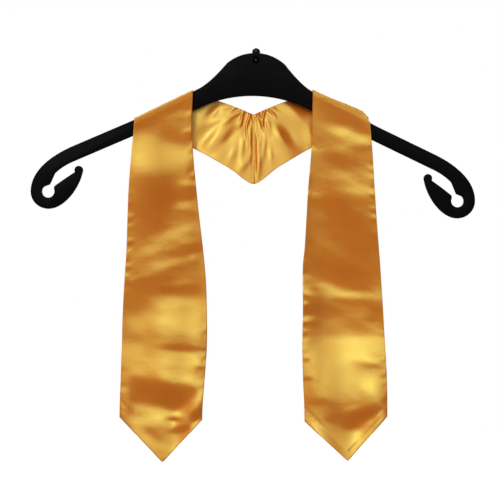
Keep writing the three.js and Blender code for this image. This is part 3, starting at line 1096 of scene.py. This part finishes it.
    def gathered(self, x: Any, z: Any, neck: float, hem: float) -> Any:
        """How far the back panel's gathers rise towards the front.

        Args:
            x: The points' x.
            z: The same for z.
            neck: The height of the neck edge there.
            hem: The height of the lower edge there.

        Returns:
            The gathers' heights.
        """
        out = self.side * (x - self.seam.x) / self.seam.length
        down = np.clip((neck - z) / (neck - hem), 0, 1)
        rise = 0.0
        for gather in self.gathers:
            snake = np.sin(down * self.wander_waves + gather.at * self.wander_apart)
            off = (out - gather.at - gather.lean * down - self.wander * snake) / gather.wide
            left = np.maximum(0, 1 - (down / gather.dies) ** 2)
            rise = rise + gather.rise * left * np.exp(-off * off)
        beside_seam = 0.06  # the share of the panel's run where the gathers start
        return rise * self.seam.length * smooth_between(out, 0, beside_seam)

    def puckers(self, along: float, inset: Any, which: float) -> Any:
        """Short drawn-up ripples along a sewn edge.

        Args:
            along: The distance along the edge.
            inset: The distances in from it.
            which: A phase that sets the two edges apart.

        Returns:
            The ripples' heights.
        """
        phase = self.pucker_phase + which
        beat = 0.5 + 0.5 * math.sin(along / self.pucker_beat + 1.7 * phase)
        ripple = sum(r.share * math.sin(along / r.long + r.phase * phase) for r in self.PUCKERS)
        fade = np.exp(-((inset / self.pucker_reach) ** 2))
        return self.drawn * beat**2 * ripple * fade * np.minimum(inset / self.pucker_edge, 1)

    def crest_ends(self) -> tuple[float, float]:
        """The x of the outer and the inner edge where the cloth lies over the arm."""
        start = self.edges[0].down
        return float(self.edge_x("outer", start)), float(self.edge_x("inner", start))

    def crest_lift(self) -> np.ndarray:
        """How high each column's crest is held off the arm."""
        lift = from_table(self.crest, "across", "lift", self.shares_across())
        return self.hanger.seat_line(self.side)[2] * self.band_width * lift

    def arm_heights(self) -> tuple[float, float]:
        """The heights at which the outer and the inner edge leave the arm.

        Returns:
            The outer edge's height and the inner edge's.
        """
        base, slope, rake = self.hanger.seat_line(self.side)
        (outer, inner), lift = self.crest_ends(), self.crest_lift()
        under = self.hanger.edge_round * rake
        return (
            base + slope * outer + float(lift[0]) - under,
            base + slope * inner + float(lift[-1]) - under,
        )

    def wrap_row(self, degrees: float, off: np.ndarray) -> np.ndarray:
        """The points of one row over the arm.

        Args:
            degrees: The row's turn, from 0 on the arm's front face to 180 on its back.
            off: How far off the arm each column's point lies.

        Returns:
            Points as rows of x, y, z.
        """
        base, slope, rake = self.hanger.seat_line(self.side)
        outer, inner = self.crest_ends()
        edge_round = self.hanger.edge_round
        x = outer + (inner - outer) * self.shares_across()
        bend, flat = edge_round + off, self.hanger.thickness / 2 - edge_round
        turn = math.radians(degrees)
        fore = math.cos(turn)
        rise = rake * bend * math.sin(turn) ** (self.crest_roll if degrees < 90 else 1.0)
        flat = flat * math.copysign(min(1, abs(fore) * 3), fore)  # the arm's top is soon crossed
        y = -flat - bend * fore
        y = y - self.crest_stand * float(smooth_between(fore, -0.2, 0.6))
        y = y - math.tan(math.radians(self.crest_lean)) * rise * max(0.0, fore)
        z = base + slope * x + self.crest_lift() - edge_round * rake + rise
        return np.stack([x, y, z], 1)

    def back_row(self, share: float, off: np.ndarray) -> np.ndarray:
        """The points of one row of the back panel.

        Args:
            share: How far along the panel the row is, from the arm to the seam.
            off: How far off the arm each column's point lies.

        Returns:
            Points as rows of x, y, z.
        """
        seam = self.seam
        (outer, inner), (high_outer, high_inner) = self.crest_ends(), self.arm_heights()
        across = self.shares_across()
        seam_x = seam.x + self.side * self.seam_meet
        fall = float(from_table(self.HEM, "along", "fall", share))
        hem = high_outer + (-seam.top - seam.length - high_outer) * fall
        neck = high_inner + (-seam.top - high_inner) * share
        neck += self.neck_bow * math.sin(math.pi * share)
        hem_x = outer + (seam_x - outer) * share
        neck_x = inner + (seam_x - inner) * share
        x = hem_x + (neck_x - hem_x) * across
        z = hem + (neck - hem) * across
        sway = math.tan(math.radians(seam.lean)) * (neck - z)
        forward = smooth_between(share, *self.LEAN_BEGINS) * (self.gathered(x, z, neck, hem) + sway)
        clear = smooth_between(share, *self.FOLDS_BEGIN) * smooth_between(share, *self.FOLDS_END)
        y = self.hanger.thickness / 2 + off - forward
        for fold in self.back_folds:
            y = y - clear * fold.at(x, z)
        return np.stack([x, y, z], 1)

    def front_row(self, station: Station, share: float, off: np.ndarray) -> np.ndarray:
        """The points of one row of the front band or its point.

        Args:
            station: The front or the point.
            share: How far up that stretch the row is.
            off: How far off the arm's face each column's point lies.

        Returns:
            Points as rows of x, y, z.
        """
        base, slope, _ = self.hanger.seat_line(self.side)
        high_outer, high_inner = self.arm_heights()
        across = self.shares_across()
        top = base + slope * self.crest_ends()[0]
        corner = top - self.drop
        up = share if station is Station.FRONT else 0.0
        outer_z = corner + (high_outer - corner) * up
        inner_z = corner - self.slant + (high_inner - corner + self.slant) * up
        outer = float(self.edge_x("outer", (top - outer_z) / self.drop))
        inner = float(self.edge_x("inner", (top - inner_z) / self.drop))
        x = outer + (inner - outer) * across
        z = outer_z + (inner_z - outer_z) * across
        if station is Station.POINT:
            tip_x = self.side * (self.line + self.tip_width * (0.5 - across))
            x = tip_x + (x - tip_x) * share
            z = corner - self.point_length + (z - corner + self.point_length) * share
        return np.stack([x, -self.hanger.thickness / 2 - off, z], 1)

    def row(self, station: Station, share: float, off: np.ndarray) -> np.ndarray:
        """The points of one row of the grid.

        Args:
            station: Which stretch of the half the row is on.
            share: How far along that stretch, or the turn in degrees over the arm.
            off: How far off the arm each column's point lies.

        Returns:
            Points as rows of x, y, z.
        """
        if station is Station.WRAP:
            return self.wrap_row(share, off)
        if station is Station.BACK:
            return self.back_row(share, off)
        return self.front_row(station, share, off)

    def looseness(self, station: Station, share: float) -> float:
        """How free the two layers are to part on a row.

        Args:
            station: Which stretch of the half the row is on.
            share: How far along that stretch it is.

        Returns:
            A share from 0, held together, to 1.
        """
        if station is Station.WRAP:
            return 0.0
        if station is Station.BACK:
            return self.puff_back * float(smooth_between(share, *self.PUFF_BEGINS))
        below = (1 - share) * self.drop if station is Station.FRONT else self.drop
        return float(smooth_between(below, self.puff_from, self.puff_full))

    def pressed(self, puff: np.ndarray, points: np.ndarray, mid: np.ndarray) -> np.ndarray:
        """Presses the layers together at the band's point, with its hems turned in.

        Args:
            puff: How far the layers part on a row.
            points: The row's points.
            mid: The whole grid's points, from the tip up.

        Returns:
            How far they part with the hems pressed.
        """
        corner = float(mid[self.point_rows, 0, 2])
        above, below = corner + self.press_above, corner - self.press_below
        low = 1 - smooth_between(points[:, 2], below, above)
        hem_end = self.hem_wide + self.hem_ease
        inside = smooth_between(self.from_point(points, mid[0]), self.hem_wide, hem_end)
        return puff * (1 - self.press_share * low) + self.hem_press * low * inside

    def grid(self, layer: Layer) -> tuple[np.ndarray, np.ndarray, np.ndarray]:
        """Both surfaces of a layer, and its thread coordinates.

        Args:
            layer: The face or the lining.

        Returns:
            The outward surface, the inward one, and a u, v pair for each grid point.
        """
        columns = len(self.shares_across())
        stations = self.stations()
        rest = np.full(columns, self.rest_off)
        mid = np.array([self.row(station, share, rest) for station, share in stations])
        wide = np.linalg.norm(np.diff(mid, axis=1), axis=2)
        run = np.concatenate([np.zeros((len(mid), 1)), np.cumsum(wide, 1)], 1)
        steps = np.linalg.norm(np.diff(mid[:, columns // 2], axis=0), axis=1)
        length = np.concatenate([[0], np.cumsum(steps)])
        hanging = self.point_rows + self.front_rows
        swing = np.zeros(mid.shape[:2])
        swing[:hanging] = self.swing(mid[:hanging, :, 0], mid[:hanging, :, 2])
        offset = OFFSETS[layer]
        outward, inward = [], []
        for i, (station, share) in enumerate(stations):
            inset = self.inset(run[i])
            if station is Station.POINT:
                inset = inset * self.point_inset
            bulge = np.sqrt(np.clip(1 - (1 - np.minimum(inset / self.rim, 1)) ** 2, 0, 1))
            soft = 1 - np.exp(-((inset / self.puff_reach) ** 2))
            ripple = np.where(
                run[i] < run[i, -1] / 2,
                self.puckers(length[i], inset, 0.0),
                self.puckers(length[i], inset, self.inner_phase),
            )
            puff = self.looseness(station, share) * (self.puff_high * soft + ripple)
            if i < hanging:
                puff = self.pressed(puff, mid[i], mid)
            out = offset.outward + offset.way * (self.rim_high * bulge + puff)
            back = offset.inward + offset.way * puff
            for surface, off in ((outward, out), (inward, back)):
                points = self.row(station, share, off)
                points[:, 1] -= swing[i]
                surface.append(points)
        threads = np.stack([run, np.repeat(length[:, None], columns, 1)], 2) / THREAD_UNIT
        return np.array(outward), np.array(inward), threads

    def build(self, layer: Layer) -> bpy.types.Object:
        """Makes one layer as a closed thin wall of cloth.

        Args:
            layer: The face or the lining.

        Returns:
            The piece that stands for that layer's node.
        """
        outward, inward, threads = self.grid(layer)
        rows, cols = outward.shape[:2]
        count = rows * cols
        points = np.concatenate([outward.reshape(-1, 3), inward.reshape(-1, 3)]) * MM
        index = np.arange(count).reshape(rows, cols)
        a, b = index[:-1, :-1], index[:-1, 1:]
        c, d = index[1:, 1:], index[1:, :-1]
        top = np.stack([a, b, c, d], -1).reshape(-1, 4)
        under = top[:, ::-1] + count
        rim = np.concatenate([index[:, 0], index[-1, 1:], index[-2::-1, -1], index[0, -2:0:-1]])
        after = np.roll(rim, -1)
        sides = np.stack([after, rim, rim + count, after + count], 1)
        faces = np.concatenate([top, under, sides])
        # the grid's own turn faces outwards on one side of the stole for the face layer
        if (self.side > 0) == (layer is Layer.FACE):
            faces = faces[:, ::-1]
        name = f"{self.name}_{layer.value}_satin"
        mesh = bpy.data.meshes.new(name)
        mesh.from_pydata(points.tolist(), [], faces.tolist())
        uv = mesh.uv_layers.new(name="threads")
        coords = np.concatenate([threads.reshape(-1, 2)] * 2)
        uv.data.foreach_set("uv", coords[faces.reshape(-1)].reshape(-1).astype(np.float32))
        mesh.polygons.foreach_set("use_smooth", [True] * len(faces))
        mesh.validate()
        obj = bpy.data.objects.new(name, mesh)
        bpy.context.scene.collection.objects.link(obj)
        return obj


LEFT = Half(
    name="left",
    side=-1,
    line=93.3,
    drop=296.7,
    slant=2.0,
    crest=(CrestRow(0, 0), CrestRow(1, 0)),
    edges=(
        EdgeRow(-0.1, 0.335, 0.353),
        EdgeRow(0.01, 0.338, 0.34),
        EdgeRow(0.11, 0.366, 0.355),
        EdgeRow(0.23, 0.4, 0.393),
        EdgeRow(0.33, 0.415, 0.429),
        EdgeRow(0.44, 0.428, 0.474),
        EdgeRow(0.54, 0.451, 0.506),
        EdgeRow(0.65, 0.472, 0.519),
        EdgeRow(0.76, 0.482, 0.519),
        EdgeRow(0.87, 0.494, 0.494),
        EdgeRow(1, 0.506, 0.466),
    ),
    leans=(
        # the turn over the arm and the shoulder
        Lean(-95, -64, 23, 60, 19, -6.5),
        Lean(-66, -66, 25, 6, 2, 8),
        Lean(-76, -67, 12, 12, 3, 6),
        Lean(-68, -82, 20, 7, 2.2, 8),
        Lean(-112, -90, 24, 18, 8, 5),
        Lean(-78, -92, 4, 22, 11, -8),
        Lean(-65, -95, 0, 5, 2, 8),
        # the upper band
        Lean(-66, -104, 0, 6, 4, 4),
        Lean(-100, -107, 4, 38, 17, 9),
        Lean(-102, -120, 0, 22, 24, 2),
        Lean(-63, -125, 0, 6, 4, -4),
        Lean(-67, -135, 0, 9, 4, 12),
        Lean(-86, -136, 0, 20, 6, 3),
        Lean(-91, -149, 0, 50, 21, -7),
        Lean(-70, -158, 0, 16, 4.5, 10),
        Lean(-80, -185, 18, 22, 5.5, 6),
        Lean(-118, -186, 8, 20, 12, -5),
        Lean(-66, -192, 0, 12, 4, 4),
        Lean(-104, -197, 18, 24, 6, -2),
        # the middle of the band
        Lean(-110, -203, 20, 17, 5, 4),
        Lean(-70, -203, 15, 24, 6, -7),
        Lean(-63, -209, 0, 5, 3, 6),
        Lean(-95, -214, 16, 18, 5, 4),
        Lean(-88, -217, 18, 19, 4, 5),
        Lean(-75, -222, 0, 14, 8, -3),
        Lean(-119, -230, 16, 14, 3.5, 4),
        Lean(-86, -236, 4, 24, 3.5, 5),
        Lean(-92, -238, 0, 40, 9, -5),
        Lean(-64, -243, 0, 10, 6, -6),
        Lean(-120, -250, 0, 22, 18, -4),
        Lean(-92, -251, 6, 16, 5, 4),
        Lean(-57, -251, 0, 12, 6, -6),
        Lean(-80, -256, 8, 24, 5, 6),
        Lean(-74, -271, 16, 30, 18, 10),
        Lean(-112, -274, 10, 20, 11, 4),
        Lean(-56, -283, 0, 8, 4, 4),
        Lean(-116, -290, 8, 16, 6, -3),
        # the lower band
        Lean(-74, -300, -5, 24, 3.6, -10),
        Lean(-108, -303, 0, 32, 20, 8),
        Lean(-52, -306, 0, 16, 46, 6),
        Lean(-72, -313, 0, 30, 12, 11),
        Lean(-54, -313, 0, 6, 3, 6),
        Lean(-54, -319, 0, 6, 2.5, -9),
        Lean(-56, -326, 0, 7, 8, -5),
        Lean(-100, -326, -14, 24, 8, 4),
        Lean(-120, -326, 0, 14, 6, 4),
        Lean(-54, -327, 0, 5, 2, 7),
        Lean(-70, -331, -6, 27, 7, 11),
        Lean(-52, -338, 0, 8, 14, 6),
        Lean(-92, -347, -8, 26, 9, -12),
        Lean(-132, -347, 0, 9, 20, 12),
        Lean(-84, -355, -14, 12, 6, -4),
        Lean(-64, -356, 42, 20, 6.5, 19),
        Lean(-129, -357, -40, 7, 2.5, -6),
        Lean(-112, -359, -6, 26, 6, 10),
        # the point
        Lean(-58, -366, 40, 9, 4.5, -15),
        Lean(-96, -367, -2, 24, 6, 4),
        Lean(-82, -370.5, 0, 8, 2.6, -20),
        Lean(-98, -371, 0, 27, 7, 8),
        Lean(-60, -376, 42, 13, 4, 8),
        Lean(-118, -380, -44, 22, 6, 6),
        Lean(-75, -381, 12, 11, 3.4, -13),
        Lean(-104, -386, -20, 16, 7, -5),
        Lean(-70, -388, 45, 18, 4, 5),
        Lean(-94, -398, 0, 60, 28, 12),
    ),
    gathers=(
        Gather(0.03, 0.0, 0.012, 0.012, 0.95),
        Gather(0.075, 0.06, 0.016, 0.022, 0.6),
        Gather(0.12, 0.35, 0.018, 0.022, 0.34),
        Gather(0.175, 0.7, 0.018, 0.022, 0.2),
        Gather(0.235, 0.9, 0.02, 0.016, 0.18),
        Gather(0.3, 1.1, 0.022, 0.012, 0.15),
    ),
    back_folds=(
        Fold(-42, -62.5, 43, 9, 3.5, -1.4),
        Fold(-28, -71, 42, 9, 3, 1.1),
        Fold(-38, -71.5, 25, 12, 4, 1.0),
        Fold(-17, -75, 65, 4, 2.2, 0.9),
        Fold(-56, -76, 70, 14, 9, 1.5),
        Fold(-12, -84, 70, 5, 2.2, -0.8),
        Fold(-6.5, -87, 86, 8, 2.4, 1.0),
        Fold(-26, -89, 50, 12, 4, -1.0),
        Fold(-41, -90, 50, 20, 7, 1.8),
        Fold(-14, -99, 84, 16, 3, 1.1),
        Fold(-2, -102, 90, 20, 7, 0.9),
        Fold(-23, -105, 68, 9, 3.4, 0.9),
        Fold(-12, -116, 60, 9, 4, 1.3),
    ),
    pucker_phase=0.4,
)
RIGHT = Half(
    name="right",
    side=1,
    line=90.9,
    drop=293.5,
    slant=5.3,
    crest=(
        CrestRow(0, 0.035),
        CrestRow(0.1, 0.06),
        CrestRow(0.25, 0.056),
        CrestRow(1, 0.008),
    ),
    edges=(
        EdgeRow(-0.1, 0.247, 0.408),
        EdgeRow(0, 0.265, 0.415),
        EdgeRow(0.1, 0.294, 0.424),
        EdgeRow(0.23, 0.322, 0.461),
        EdgeRow(0.32, 0.342, 0.479),
        EdgeRow(0.43, 0.372, 0.501),
        EdgeRow(0.49, 0.389, 0.522),
        EdgeRow(0.65, 0.424, 0.522),
        EdgeRow(0.76, 0.444, 0.529),
        EdgeRow(0.87, 0.462, 0.522),
        EdgeRow(1, 0.465, 0.505),
    ),
    leans=(
        # the turn over the arm and the shoulder
        Lean(84, -62, -20, 56, 18, -6.5),
        Lean(70, -70, -20, 28, 10, -4),
        Lean(106, -84, 0, 12, 4, -3),
        Lean(87, -84, -10, 12, 5, 8),
        Lean(106, -92, -20, 11, 5, 7),
        Lean(62, -96, 0, 16, 14, -5),
        # the upper band
        Lean(104, -101, 0, 15, 4, -5),
        Lean(53, -101, 0, 4, 2.5, 9),
        Lean(76, -102, 0, 22, 5, 2),
        Lean(104, -104, 0, 16, 6, -3),
        Lean(82, -114, 0, 40, 9, -8),
        Lean(52, -124, 0, 4, 2.5, 9),
        Lean(60, -128, 0, 16, 9, -6),
        Lean(86, -136, 0, 28, 5, -4),
        Lean(105, -140, -12, 17, 9, 5),
        Lean(51, -145, 0, 4, 2.5, 9),
        Lean(60, -147, 0, 10, 4, 5),
        Lean(70, -152, 0, 30, 12, -4),
        Lean(108, -154, 0, 12, 5, -3),
        Lean(55, -182, 0, 12, 10, -3),
        Lean(84, -190, 0, 54, 40, -9),
        # the middle of the band
        Lean(92, -226, -6, 44, 14, -8),
        Lean(50, -231, 0, 8, 3, 12),
        Lean(62, -241, -8, 17, 6, 9),
        Lean(57, -242, 0, 10, 5, 14),
        Lean(100, -247, -4, 26, 4, 6),
        Lean(92, -254, -8, 22, 4, -5),
        Lean(72, -262, -8, 28, 9, -9),
        Lean(120, -264, 0, 9, 7, -5),
        Lean(52, -271, 0, 9, 3, 12),
        Lean(62, -272, 0, 22, 6, -2),
        Lean(116, -272, 0, 10, 4, -5),
        Lean(86, -275, 0, 20, 6, -4),
        Lean(92, -284, 4, 34, 8, -9),
        Lean(49, -292, 0, 5, 2.2, 8),
        # the lower band
        Lean(90, -303, -4, 46, 23, 13),
        Lean(56, -306, 0, 9, 6, 4),
        Lean(120, -310, 0, 16, 6, 7),
        Lean(66, -310, 0, 20, 20, 4),
        Lean(50, -312, 0, 6, 2.2, -9),
        Lean(116, -318, -8, 12, 3.4, -7),
        Lean(55, -327, 0, 7, 5, 4),
        Lean(51, -331, 0, 6, 2.2, -9),
        Lean(98, -332, 0, 24, 16, -3),
        Lean(98, -336, 0, 40, 14, 10),
        Lean(122, -338, 0, 17, 14, 9),
        Lean(60, -346, 0, 20, 16, 4),
        Lean(86, -352, 0, 30, 6, 4),
        Lean(62, -354, 0, 17, 4, -5),
        Lean(100, -360, 6, 16, 4, 6),
        Lean(126, -360, 0, 9, 12, 8),
        # the point
        Lean(64, -366, -20, 16, 10, 6),
        Lean(108, -367, 18, 21, 7, -15),
        Lean(122, -367, 30, 15.6, 4, 7),
        Lean(74, -371, 0, 10, 4, -4),
        Lean(115, -377, 44, 26, 7, 10),
        Lean(99, -378, 0, 12, 6, -9),
        Lean(66, -380, -44, 26, 7, 4),
        Lean(68, -386, -44, 24, 5, 6),
        Lean(92, -399, 0, 60, 26, 14),
    ),
    gathers=(
        Gather(0.034, 0.0, 0.014, 0.014, 0.6),
        Gather(0.08, 0.1, 0.018, 0.024, 0.3),
        Gather(0.145, 0.0, 0.02, 0.028, 0.38),
        Gather(0.2, 0.5, 0.018, 0.02, 0.24),
        Gather(0.26, 0.9, 0.02, 0.014, 0.16),
    ),
    back_folds=(
        Fold(48, -55, -35, 20, 9, -3.6),
        Fold(41, -69, -50, 16, 6, 1.4),
        Fold(12, -78, -80, 8, 2.6, 1.4),
        Fold(21, -83, -60, 12, 4, 1.0),
        Fold(34, -87, -60, 13, 5, -0.9),
        Fold(22, -90, -50, 13, 7, 1.4),
        Fold(55, -92, -70, 12, 6, 1.6),
        Fold(3, -96, 80, 8, 2.2, 0.8),
        Fold(8, -98, 86, 14, 2.2, 0.8),
        Fold(-2, -102, 90, 20, 7, 0.9),
        Fold(14.5, -106, -84, 8, 2.4, 0.8),
        Fold(2.5, -115, 84, 15, 3.0, 1.2),
    ),
    pucker_phase=3.1,
    hem_press=0.35,
)


@dataclass(frozen=True)
class Lamp:
    """A soft rectangular lamp: where it stands, what it looks at, its size in metres and watts."""

    name: str
    place: tuple[float, float, float]
    aim: tuple[float, float, float]
    size: tuple[float, float]
    watts: float
    colour: str = "#ffffff"

    def build(self) -> bpy.types.Object:
        """Adds the lamp, which the camera doesn't see.

        Returns:
            The lamp.
        """
        light = bpy.data.lights.new(self.name, "AREA")
        light.shape = "RECTANGLE"
        light.size, light.size_y = self.size
        light.energy = self.watts
        light.color = linear(self.colour)[:3]
        lamp = bpy.data.objects.new(self.name, light)
        lamp.visible_camera = False
        bpy.context.scene.collection.objects.link(lamp)
        lamp.location = self.place
        look = Vector(self.aim) - Vector(self.place)
        lamp.rotation_euler = look.to_track_quat("-Z", "Y").to_euler()
        return lamp


LAMPS = (
    Lamp("key_softbox", (-0.2, -3.0, 1.15), (0, 0, -0.22), (3.0, 2.6), 56),
    Lamp("left_softbox", (-1.35, -2.7, 1.15), (0, 0, -0.2), (0.7, 0.7), 24),
    Lamp("fill_softbox", (-1.9, -1.2, -0.1), (0, 0, -0.2), (0.8, 1.2), 4, "#ff9a50"),
    Lamp("back_softbox", (0.3, 2.8, 1.2), (0, 0, -0.2), (2.6, 2.2), 80),
    Lamp("top_softbox", (0.0, -0.3, 1.9), (0, 0, -0.2), (1.6, 1.2), 6),
)


@dataclass
class Studio:
    """A pale round floor, soft lights and the camera straight in front of the hanger, in metres."""

    distance: float = 2.6
    floor_z: float = -0.52
    floor_radius: float = 1.9
    floor_thick: float = 0.02
    board_seen: float = 0.9  # the board's own brightness, which only the camera sees
    air_seen: float = 1.0
    air_lit: float = 0.045
    sensor_mm: float = 36.0

    def seen_only(self, tree: bpy.types.NodeTree, seen: float, lit: float) -> Any:
        """A strength that the camera sees and another that lights the object.

        Args:
            tree: The node tree.
            seen: The strength for the camera.
            lit: The strength for every other ray.

        Returns:
            The output socket.
        """
        path = add_node(tree, "ShaderNodeLightPath", {})
        strength = add_node(
            tree,
            "ShaderNodeMapRange",
            {"To Min": lit, "To Max": seen},
            Value=path.outputs["Is Camera Ray"],
        )
        return strength.outputs["Result"]

    def floor(self) -> bpy.types.Object:
        """Models the round floor, with a thin turned-down edge.

        Returns:
            The floor.
        """
        bpy.ops.object.select_all(action="DESELECT")
        bpy.ops.mesh.primitive_circle_add(
            vertices=128,
            radius=self.floor_radius,
            fill_type="NGON",
            location=(0, 0, self.floor_z),
        )
        floor = bpy.context.object
        floor.name = floor.data.name = "floor"
        bpy.ops.object.mode_set(mode="EDIT")
        bpy.ops.mesh.select_all(action="SELECT")
        down = (0, 0, -self.floor_thick)
        bpy.ops.mesh.extrude_region_move(TRANSFORM_OT_translate={"value": down})
        bpy.ops.mesh.select_all(action="SELECT")
        bpy.ops.mesh.normals_make_consistent(inside=False)
        bpy.ops.object.mode_set(mode="OBJECT")
        bpy.ops.object.transform_apply(location=True, rotation=True, scale=True)
        paper = bpy.data.materials.new("white_background_board")
        paper.use_nodes = True
        tree = paper.node_tree
        shader = tree.nodes["Principled BSDF"]
        place = add_node(tree, "ShaderNodeTexCoord", {})
        fibre = add_node(
            tree,
            "ShaderNodeTexNoise",
            {"Scale": 6.0, "Detail": 4.0},
            Vector=place.outputs["Object"],
        )
        ramp = add_node(tree, "ShaderNodeValToRGB", {}, Fac=fibre.outputs["Fac"])
        ramp.color_ramp.elements[0].color = linear("#8c8c8c")
        ramp.color_ramp.elements[1].color = linear("#949494")
        tree.links.new(ramp.outputs["Color"], shader.inputs["Base Color"])
        shader.inputs["Roughness"].default_value = 0.9
        shader.inputs["Emission Color"].default_value = linear("#ffffff")
        glow = self.seen_only(tree, self.board_seen, 0.0)
        tree.links.new(glow, shader.inputs["Emission Strength"])
        dress(floor, paper)
        return floor

    def build(self) -> None:
        """Sets the floor, lights, world, camera and the view's colours."""
        self.floor()
        for lamp in LAMPS:
            lamp.build()
        world = bpy.data.worlds.new("studio_air")
        world.use_nodes = True
        background = world.node_tree.nodes["Background"]
        background.inputs["Color"].default_value = linear("#ffffff")
        strength = self.seen_only(world.node_tree, self.air_seen, self.air_lit)
        world.node_tree.links.new(strength, background.inputs["Strength"])
        bpy.context.scene.world = world
        bpy.context.scene.view_settings.view_transform = "Standard"

        data = bpy.data.cameras.new("camera")
        data.sensor_width = self.sensor_mm
        data.lens = self.sensor_mm * self.distance / (PHOTO_MM * MM)
        data.clip_end = 30
        camera = bpy.data.objects.new("camera", data)
        bpy.context.scene.collection.objects.link(camera)
        camera.location = (VIEW_X * MM, -self.distance, VIEW_Z * MM)
        camera.rotation_euler = (math.pi / 2, 0, 0)
        bpy.context.scene.camera = camera


def place_piece(obj: bpy.types.Object, node: str) -> None:
    """Lets a piece stand for a CAD node, on the one body.

    Args:
        obj: The piece.
        node: The CAD node that it stands for.
    """
    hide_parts(node)
    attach(obj, "root")
    log.info("%s stands for %s, %d faces", obj.name, node, len(obj.data.polygons))


def main() -> None:
    """Builds the studio, the hanger and the stole in order."""
    Studio().build()

    hanger_plastic, stem_plastic = HANGER_PLASTIC.material(), STEM_PLASTIC.material()
    moulding, stem = Hanger().build(), Stem().build()
    dress(moulding, hanger_plastic)
    dress(stem, stem_plastic)
    place_piece(moulding, "hanger_body")
    place_piece(stem, "hook_stem")
    dress(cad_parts["hanger_body"], hanger_plastic)
    dress(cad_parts["hook_stem"], stem_plastic)

    satin, lining = FACE_SATIN.material(), LINING_SATIN.material()
    welt = CentreSeam().build()
    dress(welt, lining)
    place_piece(welt, "centre_seam")
    for half in (LEFT, RIGHT):
        for layer in Layer:
            cloth = half.build(layer)
            face = layer is Layer.FACE
            dress(cloth, satin if face else lining)
            place_piece(cloth, f"{half.name}_{layer.value}")


if __name__ == "__main__":
    main()
